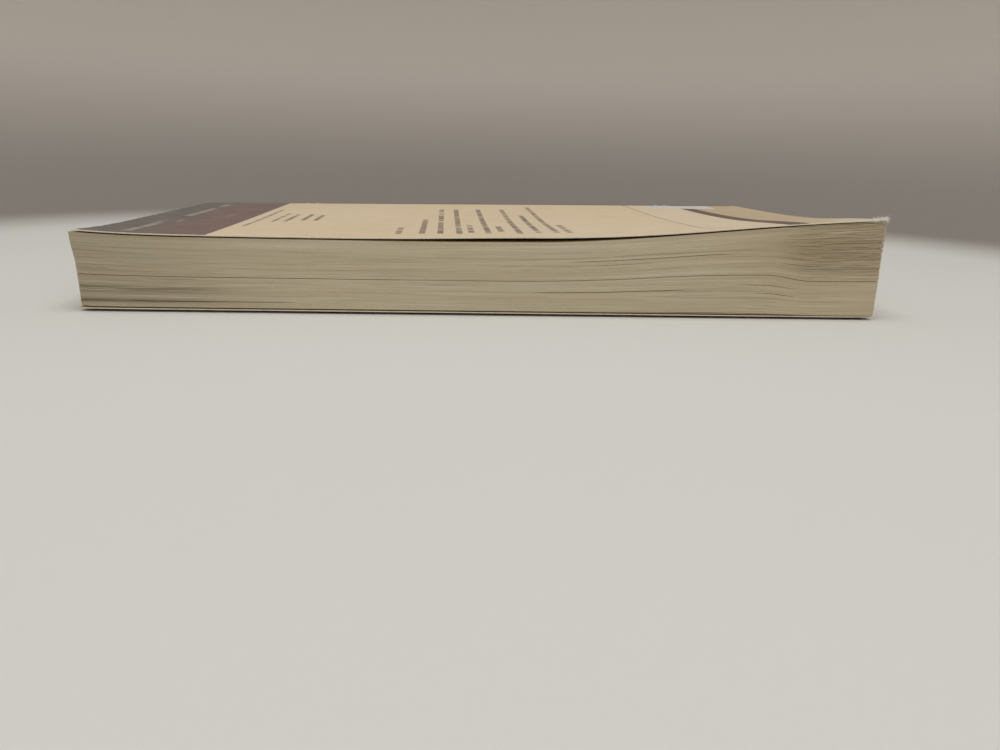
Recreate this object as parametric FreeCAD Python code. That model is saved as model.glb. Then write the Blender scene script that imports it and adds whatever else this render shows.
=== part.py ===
import FreeCAD, Part
import math
import os

# A worn paperback book that lies closed on its front cover, in millimetres.
# +X runs from the head of the pages to the tail, +Y from the fore-edge to the spine, +Z up.
# The origin is the middle of the underside.
# Damp has swollen the leaves, so the book is a wedge that is thickest at its tail,
# and its back cover curls up at the tail corner of the fore-edge.

# The closed book over its covers. The two thicknesses are taken along the spine.
book_height = 190.5
book_width = 108.0
head_thickness = 17.2
tail_thickness = 20.0

# The cover card and the glue under it.
card_thickness = 0.3
spine_glue_thickness = 0.6
side_glue_thickness = 0.3
glued_strip_width = 4.5
spine_fold_radius = 0.8
cover_corner_radius = 1.2

# Clearances.
hinge_slot = 0.2
glue_seat = 0.02

# The warp. Rises are in millimetres over a straight book, and places and spreads along the
# book are shares of half its height, from -1 at the head to 1 at the tail.
tail_curl = 4.35
tail_curl_start = 0.1
tail_curl_run = 1.0
tail_curl_sharpness = 2.5
head_curl = 1.15
head_curl_sharpness = 8
middle_sag = 1.05
middle_sag_place = 0.05
middle_sag_spread = 0.66
middle_sag_reach = 0.7
cover_lift = 0.6
cover_lift_place = 0.08
cover_lift_spread = 0.28

# The head side of the leaves leans out towards the top, and its lowest corner is bumped in.
head_lean = 0.5
head_lean_start = 10.0
bumped_corner_along = 1.7
bumped_corner_across = 3.0
bumped_corner_height = 3.2

# Gaps between leaves that show on the fore-edge. Each has its greatest width, its depth into
# the block, and its course: places along the book and shares of the block's thickness.
leaf_gaps = [
    (0.30, 1.6, [(-0.985, 0.45), (-0.7, 0.448), (-0.45, 0.441), (-0.1, 0.442), (0.15, 0.45),
                 (0.4, 0.475), (0.62, 0.48), (0.74, 0.44), (0.81, 0.385), (0.9, 0.382), (0.985, 0.393)]),
    (0.32, 1.8, [(0.13, 0.271), (0.24, 0.284), (0.34, 0.294), (0.46, 0.298)]),
    (0.26, 1.4, [(0.22, 0.712), (0.36, 0.738), (0.47, 0.742), (0.6, 0.715)]),
    (0.24, 1.2, [(-0.86, 0.087), (-0.7, 0.085), (-0.5, 0.085)]),
    (0.24, 1.2, [(0.65, 0.348), (0.7, 0.338), (0.76, 0.33)]),
    (0.34, 2.2, [(0.765, 0.607), (0.8, 0.577), (0.83, 0.531)]),
    (0.34, 2.2, [(0.845, 0.815), (0.88, 0.8), (0.94, 0.806), (0.98, 0.82)]),
    (0.34, 2.2, [(0.865, 0.742), (0.91, 0.754), (0.95, 0.761), (0.985, 0.745)]),
    (0.30, 2.0, [(0.87, 0.937), (0.93, 0.92), (0.98, 0.908)]),
]

# The grid of control points that carries the warped sheets, and how far they overhang the book
# before they are trimmed.
span_count_along = 12
span_count_across = 8
trim_margin = 3.0
spline_degree = 3

# Places that follow from the sizes.
half_height = book_height / 2
half_width = book_width / 2
hinge_line = half_width - glued_strip_width
panel_width = book_width - glued_strip_width
block_floor = card_thickness + side_glue_thickness
block_back = half_width - card_thickness - spine_glue_thickness
clear_height = 2 * max(head_thickness, tail_thickness) + tail_curl + trim_margin


def box(low, high):
    """A box between its lowest and its highest corner."""
    size = [high[axis] - low[axis] for axis in range(3)]
    return Part.makeBox(size[0], size[1], size[2], FreeCAD.Vector(*low))


def smooth_step(share):
    """Rises from 0 to 1 with no slope at either end."""
    share = min(max(share, 0.0), 1.0)
    return share * share * (3.0 - 2.0 * share)


def hill(along, place, spread):
    """A smooth hill of height 1 at its place along the book."""
    return math.exp(-((along - place) / spread) ** 2)


def spine_top(x):
    """Height of the book's upper face along the spine."""
    return head_thickness + (tail_thickness - head_thickness) * (x / book_height + 0.5)


def shares(x, y):
    """Place along the book from -1 to 1, and distance from the hinge line as a share of the panel."""
    across = min(max((hinge_line - y) / panel_width, 0.0), 1.0)
    return min(max(x / half_height, -1.0), 1.0), across


def leaf_rise(x, y):
    """How far the leaves' warp lifts the book's upper face at one place."""
    along, across = shares(x, y)
    curl = tail_curl * across ** tail_curl_sharpness
    curl = curl * smooth_step((along - tail_curl_start) / tail_curl_run)
    corner = head_curl * (max(-along, 0.0) * across) ** head_curl_sharpness
    sag = hill(along, middle_sag_place, middle_sag_spread) * smooth_step(across / middle_sag_reach)
    return curl + corner - middle_sag * sag


def cover_gap(x, y):
    """How far the back cover stands off the top leaf at one place."""
    along, across = shares(x, y)
    return side_glue_thickness + cover_lift * hill(along, cover_lift_place, cover_lift_spread) * across ** 2


def cover_underside(x, y):
    """Height of the back cover's inner face at one place."""
    lift = cover_gap(x, y) - side_glue_thickness
    return spine_top(x) + leaf_rise(x, y) + lift - card_thickness


def block_top(x, y):
    """Height of the top leaf at one place."""
    return cover_underside(x, y) - cover_gap(x, y) - glue_seat


def knots(low, high, spans):
    """Evenly spaced knots and their multiplicities for a spline that ends at its last points."""
    values = [low + (high - low) * index / spans for index in range(spans + 1)]
    return values, [spline_degree + 1] + [1] * (spans - 1) + [spline_degree + 1]


def control_places(low, high, spans):
    """Where along its length each control point of such a spline acts."""
    values = knots(low, high, spans)[0]
    padded = [low] * spline_degree + values + [high] * spline_degree
    count = spans + spline_degree
    return [sum(padded[index + 1:index + 1 + spline_degree]) / spline_degree for index in range(count)]


def warped_face(height_at):
    """A smooth face over the whole book, with its height given by a function of x and y."""
    x_range = (-half_height - trim_margin, half_height + trim_margin, span_count_along)
    y_range = (-half_width - trim_margin, half_width + trim_margin, span_count_across)
    poles = []
    for x in control_places(*x_range):
        poles.append([FreeCAD.Vector(x, y, height_at(x, y)) for y in control_places(*y_range)])
    x_knots, x_counts = knots(*x_range)
    y_knots, y_counts = knots(*y_range)
    surface = Part.BSplineSurface()
    surface.buildFromPolesMultsKnots(
        poles, x_counts, y_counts, x_knots, y_knots, False, False, spline_degree, spline_degree)
    return surface.toShape()


def bumped_corner():
    """The wedge that is missing from the lowest corner, where the head meets the fore-edge."""
    corner = FreeCAD.Vector(-half_height, -half_width, 0)
    points = [
        corner,
        corner + FreeCAD.Vector(bumped_corner_along, 0, 0),
        corner + FreeCAD.Vector(0, bumped_corner_across, 0),
        corner + FreeCAD.Vector(0, 0, bumped_corner_height),
    ]
    # Grown about the middle of its sloping face, so that only this face cuts.
    middle = (points[1] + points[2] + points[3]) / 3
    grown = [middle + (point - middle) * 2 for point in points]
    faces = []
    for a, b, c in ((0, 1, 2), (0, 1, 3), (0, 2, 3), (1, 2, 3)):
        faces.append(Part.Face(Part.makePolygon([grown[a], grown[b], grown[c], grown[a]])))
    return Part.makeSolid(Part.makeShell(faces))


def leaf_gap(width, depth, course):
    """A thin slot between two leaves that opens on the fore-edge and closes at both its ends."""
    centre = []
    for along, share in course:
        x = along * half_height
        centre.append((x, block_floor + share * (block_top(x, -half_width) - block_floor)))
    y = -half_width - trim_margin
    sides = []
    for side in (1, -1):
        points = [FreeCAD.Vector(centre[0][0], y, centre[0][1])]
        for x, z in centre[1:-1]:
            points.append(FreeCAD.Vector(x, y, z + side * width / 2))
        points.append(FreeCAD.Vector(centre[-1][0], y, centre[-1][1]))
        line = Part.BSplineCurve()
        line.interpolate(points)
        sides.append(line.toShape())
    face = Part.Face(Part.Wire(sides))
    return face.extrude(FreeCAD.Vector(0, trim_margin + depth, 0))


def page_block():
    """All the leaves as one solid, under a warped top leaf and with gaps on the fore-edge."""
    foot = -half_height + head_lean
    lean_start = block_floor + head_lean_start
    outline = [
        (foot, block_floor),
        (foot, lean_start),
        (-half_height, max(spine_top(-half_height), lean_start + head_lean)),
        (-half_height, clear_height),
        (half_height, clear_height),
        (half_height, block_floor),
        (foot, block_floor),
    ]
    side = Part.makePolygon([FreeCAD.Vector(x, -half_width, z) for x, z in outline])
    block = Part.Face(side).extrude(FreeCAD.Vector(0, half_width + block_back, 0))
    above = warped_face(block_top).extrude(FreeCAD.Vector(0, 0, 2 * clear_height))
    block = block.cut(above).cut(bumped_corner())
    return block.cut([leaf_gap(*gap) for gap in leaf_gaps])


def spine_section(x, inset, reach):
    """Outline of the book's spine end at one x, inset from the outside, from the back to the given y."""
    back = half_width - inset
    bottom = inset
    top = spine_top(x) - inset
    radius = max(spine_fold_radius - inset, glue_seat)
    turn = radius * (1 - math.sqrt(0.5))
    places = [
        (reach, bottom),
        (back - radius, bottom),
        (back - turn, bottom + turn),
        (back, bottom + radius),
        (back, top - radius),
        (back - turn, top - turn),
        (back - radius, top),
        (reach, top),
    ]
    points = [FreeCAD.Vector(x, y, z) for y, z in places]
    edges = [
        Part.makeLine(points[0], points[1]),
        Part.Arc(points[1], points[2], points[3]).toShape(),
        Part.makeLine(points[3], points[4]),
        Part.Arc(points[4], points[5], points[6]).toShape(),
        Part.makeLine(points[6], points[7]),
        Part.makeLine(points[7], points[0]),
    ]
    return Part.Wire(edges)


def spine_solid(inset, reach):
    """The space inside a spine outline, from the head to the tail."""
    ends = [spine_section(-half_height, inset, reach), spine_section(half_height, inset, reach)]
    return Part.makeLoft(ends, True, True)


def leaf_space():
    """The wedge between the glued strips that the back edges of the leaves fill."""
    corners = [(x, block_floor) for x in (-half_height, half_height)]
    corners += [(x, spine_top(x) - block_floor) for x in (half_height, -half_height)]
    back = [FreeCAD.Vector(x, block_back, z) for x, z in corners]
    return Part.Face(Part.makePolygon(back + back[:1])).extrude(FreeCAD.Vector(0, -panel_width, 0))


def spine_cover():
    """The card folded round the spine, with a flank glued down on each side of the block."""
    outer = spine_solid(0, hinge_line)
    return outer.cut(spine_solid(card_thickness, hinge_line - trim_margin))


def spine_glue():
    """The glue that holds the leaves' back edges to the spine, and its two side strips."""
    outer = spine_solid(card_thickness + glue_seat, hinge_line)
    return outer.cut(leaf_space())


def panel_outline(height):
    """The plan of a cover panel as a prism, with its two free corners worn round."""
    prism = box((-half_height, -half_width, 0), (half_height, hinge_line - hinge_slot, height))
    corners = []
    for edge in prism.Edges:
        upright = abs(edge.tangentAt(edge.FirstParameter).z) > 0.99
        if upright and edge.CenterOfMass.y < 0:
            corners.append(edge)
    return prism.makeFillet(cover_corner_radius, corners)


def back_cover():
    """The upper cover panel, a card that follows the warped leaves and curls up at its tail corner."""
    sheet = warped_face(cover_underside).extrude(FreeCAD.Vector(0, 0, card_thickness))
    return sheet.common(panel_outline(clear_height))


def front_cover():
    """The lower cover panel, a flat card that the book rests on, with one bumped corner."""
    return panel_outline(card_thickness).cut(bumped_corner())


def cleaned(shape):
    """The solids of a finished shape, with the seams that cutting left in its faces taken out."""
    solids = shape.removeSplitter().Solids
    return solids[0] if len(solids) == 1 else Part.makeCompound(solids)


nodes = {
    "page_block": page_block,
    "spine_glue": spine_glue,
    "spine_cover": spine_cover,
    "back_cover": back_cover,
    "front_cover": front_cover,
}

os.makedirs("parts", exist_ok=True)
for name, make in nodes.items():
    solid = cleaned(make())
    solid.exportStep(os.path.join("parts", name + ".step"))
    bounds = solid.BoundBox
    print(name, solid.isValid(), round(solid.Volume), round(bounds.XMin, 3), round(bounds.XMax, 3),
          round(bounds.YMin, 3), round(bounds.YMax, 3), round(bounds.ZMin, 3), round(bounds.ZMax, 3))
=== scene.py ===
import logging
import math
from dataclasses import dataclass
from enum import Enum

import bpy
import numpy as np
from mathutils import Matrix, Vector


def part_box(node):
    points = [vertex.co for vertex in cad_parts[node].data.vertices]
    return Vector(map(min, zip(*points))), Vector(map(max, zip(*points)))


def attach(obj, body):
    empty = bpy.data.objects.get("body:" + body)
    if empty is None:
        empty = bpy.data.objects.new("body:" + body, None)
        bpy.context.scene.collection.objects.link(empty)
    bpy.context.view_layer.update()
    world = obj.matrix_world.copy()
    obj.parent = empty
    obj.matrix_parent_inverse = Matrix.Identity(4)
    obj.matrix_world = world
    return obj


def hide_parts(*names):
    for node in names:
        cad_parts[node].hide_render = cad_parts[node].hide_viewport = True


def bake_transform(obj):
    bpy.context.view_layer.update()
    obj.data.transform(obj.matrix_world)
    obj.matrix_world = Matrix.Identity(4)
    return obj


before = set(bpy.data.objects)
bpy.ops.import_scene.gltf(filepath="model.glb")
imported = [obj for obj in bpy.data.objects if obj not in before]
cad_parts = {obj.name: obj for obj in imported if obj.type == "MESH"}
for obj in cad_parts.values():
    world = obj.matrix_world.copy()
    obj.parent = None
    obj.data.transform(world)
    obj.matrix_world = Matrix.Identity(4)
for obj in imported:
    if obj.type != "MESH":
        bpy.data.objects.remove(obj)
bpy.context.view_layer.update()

# The looks of a worn paperback book that lies closed on its front cover, in metres.
# +X runs from the head of the pages to the tail, +Y from the fore-edge to the spine, +Z up.

MM = 0.001

Socket = bpy.types.NodeSocket
Object = bpy.types.Object
Colour = tuple[float, float, float, float]
Point = tuple[float, float, float]

log = logging.getLogger("paperback")


class Tone(Enum):
    """Colours of the book's papers, inks and glue and of the stage, as display values up to 255."""

    LEAF_EDGE = (223, 214, 190)
    LEAF_EDGE_BROWN = (188, 170, 138)
    LEAF_PALE = (232, 226, 206)
    # Dark marks on the leaf edges, and painted shade towards the head end.
    LEAF_DIRT = (118, 104, 84)
    LEAF_FACE = (222, 210, 178)
    LEAF_FACE_AGED = (196, 174, 128)
    # Browned rim of paper and card, partly painted shade in the gap between the cover and the leaves.
    RIM_BROWN = (160, 122, 82)
    CARD_CORE = (226, 219, 200)
    CARD_INSIDE = (216, 206, 182)
    CARD_FLUFF = (250, 248, 244)
    CREAM = (236, 212, 174)
    PALE_CREAM = (237, 219, 190)
    TAN = (188, 162, 126)
    SLATE = (92, 88, 84)
    MAROON = (116, 86, 80)
    # Spine print at the head, partly a painted highlight of the spine's rounded edge.
    SPINE_GREEN = (104, 110, 100)
    LIGHT_INK = (170, 162, 150)
    RED_INK = (150, 106, 96)
    TEXT_INK = (92, 74, 62)
    PURPLE_INK = (112, 84, 96)
    STRIPE = (88, 64, 40)
    BOX_WHITE = (224, 222, 222)
    GLUE = (214, 204, 172)
    FLOOR = (226, 226, 222)
    # Painted shade at the foot of the backdrop.
    WALL_FOOT = (156, 150, 144)
    WALL = (205, 198, 190)

    @property
    def linear(self) -> Colour:
        """This colour in linear light, with full opacity."""
        return tuple(linear_light(value / 255) for value in self.value) + (1.0,)


def linear_light(value: float) -> float:
    """Turns a display value from 0 to 1 into linear light.

    Args:
        value: The display value.

    Returns:
        The same brightness in linear light.
    """
    return value / 12.92 if value <= 0.04045 else ((value + 0.055) / 1.055) ** 2.4


@dataclass(frozen=True)
class BookForm:
    """Sizes of the closed book and of its warp, the same as in the solids."""

    half_height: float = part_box("front_cover")[1].x
    half_width: float = -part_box("front_cover")[0].y
    panel_edge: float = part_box("front_cover")[1].y
    card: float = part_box("front_cover")[1].z
    hinge_line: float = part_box("spine_cover")[0].y
    block_back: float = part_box("page_block")[1].y
    block_floor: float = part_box("page_block")[0].z
    head_thickness: float = 17.2 * MM
    tail_thickness: float = 20.0 * MM
    side_glue: float = 0.3 * MM
    glue_seat: float = 0.02 * MM
    fold_radius: float = 0.8 * MM
    corner_radius: float = 1.2 * MM
    tail_curl: float = 4.35 * MM
    tail_curl_start: float = 0.1
    tail_curl_run: float = 1.0
    tail_curl_sharpness: float = 2.5
    head_curl: float = 1.15 * MM
    head_curl_sharpness: float = 8.0
    middle_sag: float = 1.05 * MM
    middle_sag_place: float = 0.05
    middle_sag_spread: float = 0.66
    middle_sag_reach: float = 0.7
    cover_lift: float = 0.6 * MM
    cover_lift_place: float = 0.08
    cover_lift_spread: float = 0.28
    foot_lift: float = 0.08 * MM
    foot_lift_run: float = 12.0 * MM

    def spine_top(self, x: np.ndarray) -> np.ndarray:
        """Height of the book's upper face along the spine, for places along the book."""
        wedge = self.tail_thickness - self.head_thickness
        return self.head_thickness + wedge * (x / (2 * self.half_height) + 0.5)

    def along(self, x: np.ndarray) -> np.ndarray:
        """Place along the book as a share, from -1 at the head to 1 at the tail."""
        return np.clip(x / self.half_height, -1.0, 1.0)

    def across(self, y: np.ndarray) -> np.ndarray:
        """Distance from the hinge line as a share of the panel's width."""
        return np.clip((self.hinge_line - y) / (self.hinge_line + self.half_width), 0.0, 1.0)

    def cover_gap(self, x: np.ndarray, y: np.ndarray) -> np.ndarray:
        """How far the back cover stands off the top leaf."""
        lift = hill(self.along(x), self.cover_lift_place, self.cover_lift_spread)
        return self.side_glue + self.cover_lift * lift * self.across(y) ** 2

    def cover_underside(self, x: np.ndarray, y: np.ndarray) -> np.ndarray:
        """Height of the back cover's inner face.

        Args:
            x: Places along the book.
            y: Places across the book.

        Returns:
            The heights at those places.
        """
        along = self.along(x)
        across = self.across(y)
        curl = self.tail_curl * across ** self.tail_curl_sharpness
        curl = curl * smooth_step((along - self.tail_curl_start) / self.tail_curl_run)
        corner = self.head_curl * (np.maximum(-along, 0.0) * across) ** self.head_curl_sharpness
        sag = hill(along, self.middle_sag_place, self.middle_sag_spread)
        sag = self.middle_sag * sag * smooth_step(across / self.middle_sag_reach)
        lift = self.cover_gap(x, y) - self.side_glue
        return self.spine_top(x) + curl + corner - sag + lift - self.card

    def block_top(self, x: np.ndarray, y: np.ndarray) -> np.ndarray:
        """Height of the top leaf's upper face."""
        return self.cover_underside(x, y) - self.cover_gap(x, y) - self.glue_seat

    def foot_rise(self, x: np.ndarray, y: np.ndarray) -> np.ndarray:
        """How far the underside curves up towards the head and the tail of the fore-edge.

        Args:
            x: Places along the book.
            y: Places across the book.

        Returns:
            The rise at those places.
        """
        into_end = np.abs(x) - self.half_height + self.foot_lift_run
        near_end = np.clip(into_end / self.foot_lift_run, 0.0, 1.0)
        return self.foot_lift * near_end ** 2 * self.across(y) ** 2

    def panel_reach(self, y: np.ndarray) -> np.ndarray:
        """Half the length of a cover panel, less near its two worn corners.

        Args:
            y: Places across the book.

        Returns:
            Half the panel's length at those places.
        """
        radius = self.corner_radius
        into = np.clip(radius - (y + self.half_width), 0.0, radius)
        return self.half_height - radius + np.sqrt(radius ** 2 - into ** 2)


def smooth_step(share: np.ndarray) -> np.ndarray:
    """Rises from 0 to 1 with no slope at either end."""
    share = np.clip(share, 0.0, 1.0)
    return share * share * (3.0 - 2.0 * share)


def hill(value: np.ndarray, place: float, spread: float) -> np.ndarray:
    """A smooth hill of height 1 at its place."""
    return np.exp(-((value - place) / spread) ** 2)


class Field:
    """A number that varies over a surface, carried by one socket of a node tree."""

    def __init__(self, sketch: "Sketch", socket: Socket) -> None:
        """Wraps an output socket of the sketch's tree."""
        self.sketch = sketch
        self.socket = socket

    def __add__(self, other: "Field | float") -> "Field":
        """The sum."""
        return self.sketch.math("ADD", self, other)

    def __sub__(self, other: "Field | float") -> "Field":
        """The difference."""
        return self.sketch.math("SUBTRACT", self, other)

    def __rsub__(self, other: float) -> "Field":
        """The difference, with the number first."""
        return self.sketch.math("SUBTRACT", other, self)

    def __mul__(self, other: "Field | float") -> "Field":
        """The product."""
        return self.sketch.math("MULTIPLY", self, other)

    def __truediv__(self, other: "Field | float") -> "Field":
        """The quotient."""
        return self.sketch.math("DIVIDE", self, other)

    def __neg__(self) -> "Field":
        """The same number with its sign turned."""
        return self.sketch.math("MULTIPLY", self, -1.0)

    def __abs__(self) -> "Field":
        """The size of the number."""
        return self.sketch.math("ABSOLUTE", self)

    def least(self, other: "Field | float") -> "Field":
        """The smaller of the two."""
        return self.sketch.math("MINIMUM", self, other)

    def most(self, other: "Field | float") -> "Field":
        """The larger of the two."""
        return self.sketch.math("MAXIMUM", self, other)

    def square(self) -> "Field":
        """The number times itself."""
        return self * self

    def clamp(self) -> "Field":
        """The number held between 0 and 1."""
        return self.most(0.0).least(1.0)

    def exp(self) -> "Field":
        """The exponential."""
        return self.sketch.math("EXPONENT", self)

    def sign(self) -> "Field":
        """-1, 0 or 1."""
        return self.sketch.math("SIGN", self)

    def ramp(self, start: float, end: float) -> "Field":
        """Rises smoothly from 0 at start to 1 at end, and falls where end is the lower.

        Args:
            start: The number that gives 0.
            end: The number that gives 1.

        Returns:
            The ramp.
        """
        inputs = {"Value": self, "From Min": start, "From Max": end}
        node = self.sketch.node("ShaderNodeMapRange", inputs, interpolation_type="SMOOTHSTEP")
        return self.sketch.result(node)

    def hill(self, place: float, spread: float) -> "Field":
        """A smooth hill of height 1 at its place."""
        return (-((self - place) / spread).square()).exp()

    def band(self, start: float, end: float, soft: float) -> "Field":
        """1 from start to end and 0 outside, with soft ends."""
        return self.ramp(start - soft, start + soft) * self.ramp(end + soft, end - soft)

    def line(self, place: float, half_width: float, soft: float = 0.1) -> "Field":
        """1 within half a width of a place and 0 farther off, with soft sides."""
        return abs(self - place).ramp(half_width + soft, half_width - soft)


Amount = Field | np.ndarray


class Sketch:
    """Short calls that fill one node tree, of a material or of Geometry Nodes."""

    def __init__(self, tree: bpy.types.NodeTree) -> None:
        """Takes the tree to fill."""
        self.tree = tree

    def node(self, kind: str, inputs: dict | None = None, **settings: object) -> bpy.types.Node:
        """Adds a node.

        Args:
            kind: The node's type.
            inputs: Values, fields or sockets for its inputs, by name or by number.
            settings: The node's own options.

        Returns:
            The new node.
        """
        made = self.tree.nodes.new(kind)
        for name, value in settings.items():
            setattr(made, name, value)
        for key, value in (inputs or {}).items():
            open_sockets = [socket for socket in made.inputs if socket.name == key and socket.enabled]
            self.plug(open_sockets[0] if open_sockets else made.inputs[key], value)
        return made

    def step(self, kind: str, inputs: dict | None = None, **settings: object) -> Socket:
        """Adds a node and gives its first output."""
        return self.node(kind, inputs, **settings).outputs[0]

    def plug(self, socket: Socket, value: object) -> None:
        """Links a field or a socket to an input, or sets the input to a value.

        Args:
            socket: The input.
            value: A field, a socket or a plain value.
        """
        if isinstance(value, Field):
            value = value.socket
        if isinstance(value, Socket):
            self.tree.links.new(value, socket)
        else:
            socket.default_value = value

    def result(self, node: bpy.types.Node) -> Field:
        """The first live output of a node."""
        return Field(self, next(socket for socket in node.outputs if socket.enabled))

    def math(self, operation: str, *values: "Field | float") -> Field:
        """One step of arithmetic on fields and numbers."""
        return self.result(self.node("ShaderNodeMath", dict(enumerate(values)), operation=operation))

    def vector(self, x: "Field | float", y: "Field | float", z: "Field | float") -> Socket:
        """Joins three numbers into a vector."""
        return self.step("ShaderNodeCombineXYZ", {0: x, 1: y, 2: z})

    def split(self, vector: Socket) -> tuple[Field, Field, Field]:
        """The three numbers of a vector."""
        node = self.node("ShaderNodeSeparateXYZ", {0: vector})
        return tuple(Field(self, socket) for socket in node.outputs)

    def hypotenuse(self, a: Field, b: Field) -> Field:
        """The distance that two legs at a right angle span."""
        return self.math("SQRT", a.square() + b.square())

    def noise(self, x: "Field | float", y: "Field | float", z: "Field | float",
              detail: float = 2.0) -> Field:
        """Smooth noise around 0.5 over three numbers, with one wave to each unit.

        Args:
            x: The first number.
            y: The second number.
            z: The third number.
            detail: How many finer layers it has.

        Returns:
            The noise.
        """
        inputs = {"Vector": self.vector(x, y, z), "Scale": 1.0, "Detail": detail, "Roughness": 0.55}
        return Field(self, self.step("ShaderNodeTexNoise", inputs))


class Brush(Sketch):
    """Paints one material. Places read from the surface are in millimetres."""

    def __init__(self, material: bpy.types.Material) -> None:
        """Opens the material's nodes and reads the place on the piece.

        Args:
            material: The material, with its nodes in use.
        """
        super().__init__(material.node_tree)
        self.shader = self.tree.nodes["Principled BSDF"]
        coordinates = self.node("ShaderNodeTexCoord").outputs["Object"]
        self.x, self.y, self.z = (part * (1 / MM) for part in self.split(coordinates))

    def attribute(self, name: str) -> Field:
        """A number stored on the mesh."""
        return Field(self, self.node("ShaderNodeAttribute", attribute_name=name).outputs["Fac"])

    def mottle(self, size: float, seed: float = 0.0, detail: float = 2.0) -> Field:
        """Noise over the surface with blotches of one size, in millimetres."""
        return self.noise(self.x / size + seed, self.y / size - seed, self.z / size + 2 * seed, detail)

    def from_fore_edge(self) -> Field:
        """Distance in millimetres from the book's fore-edge."""
        return self.y + BookForm().half_width / MM

    def from_ends(self) -> Field:
        """Distance in millimetres from the nearer of the head and the tail."""
        return BookForm().half_height / MM - abs(self.x)

    def from_rim(self) -> Field:
        """Distance in millimetres from the nearest of the book's three trimmed sides."""
        return self.from_fore_edge().least(self.from_ends())

    def mix(self, share: Field | float, low: object, high: object) -> Socket:
        """Blends two colours.

        Args:
            share: 0 gives the first colour and 1 the second.
            low: A tone or a colour socket.
            high: A tone or a colour socket.

        Returns:
            The blended colour's socket.
        """
        colours = [value.linear if isinstance(value, Tone) else value for value in (low, high)]
        node = self.node("ShaderNodeMix", {}, data_type="RGBA")
        self.plug(node.inputs[0], share)
        self.plug(node.inputs[6], colours[0])
        self.plug(node.inputs[7], colours[1])
        return node.outputs[2]

    def dress(self, colour: object, roughness: Field | float, height: Field, depth: float,
              specular: float = 0.5) -> None:
        """Connects the shader.

        Args:
            colour: The surface colour's socket.
            roughness: The roughness.
            height: Relief from 0 to 1.
            depth: The relief's depth in millimetres.
            specular: How strongly the surface shines, 0.5 for a plain one.
        """
        bump = self.step("ShaderNodeBump", {"Height": height, "Strength": 1.0, "Distance": depth * MM})
        inputs = {"Base Color": colour, "Roughness": roughness, "Normal": bump}
        inputs["Specular IOR Level"] = specular
        for name, value in inputs.items():
            self.plug(self.shader.inputs[name], value)


@dataclass(frozen=True)
class Finish:
    """A surface finish, painted once and then shared by the pieces that wear it."""

    name: str

    def material(self) -> bpy.types.Material:
        """The finish's material, made at its first use.

        Returns:
            The material.
        """
        found = bpy.data.materials.get(self.name)
        if found:
            return found
        made = bpy.data.materials.new(self.name)
        made.use_nodes = True
        self.paint(Brush(made))
        return made

    def paint(self, brush: Brush) -> None:
        """Paints the finish. Each kind of finish has its own."""
        raise NotImplementedError


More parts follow.
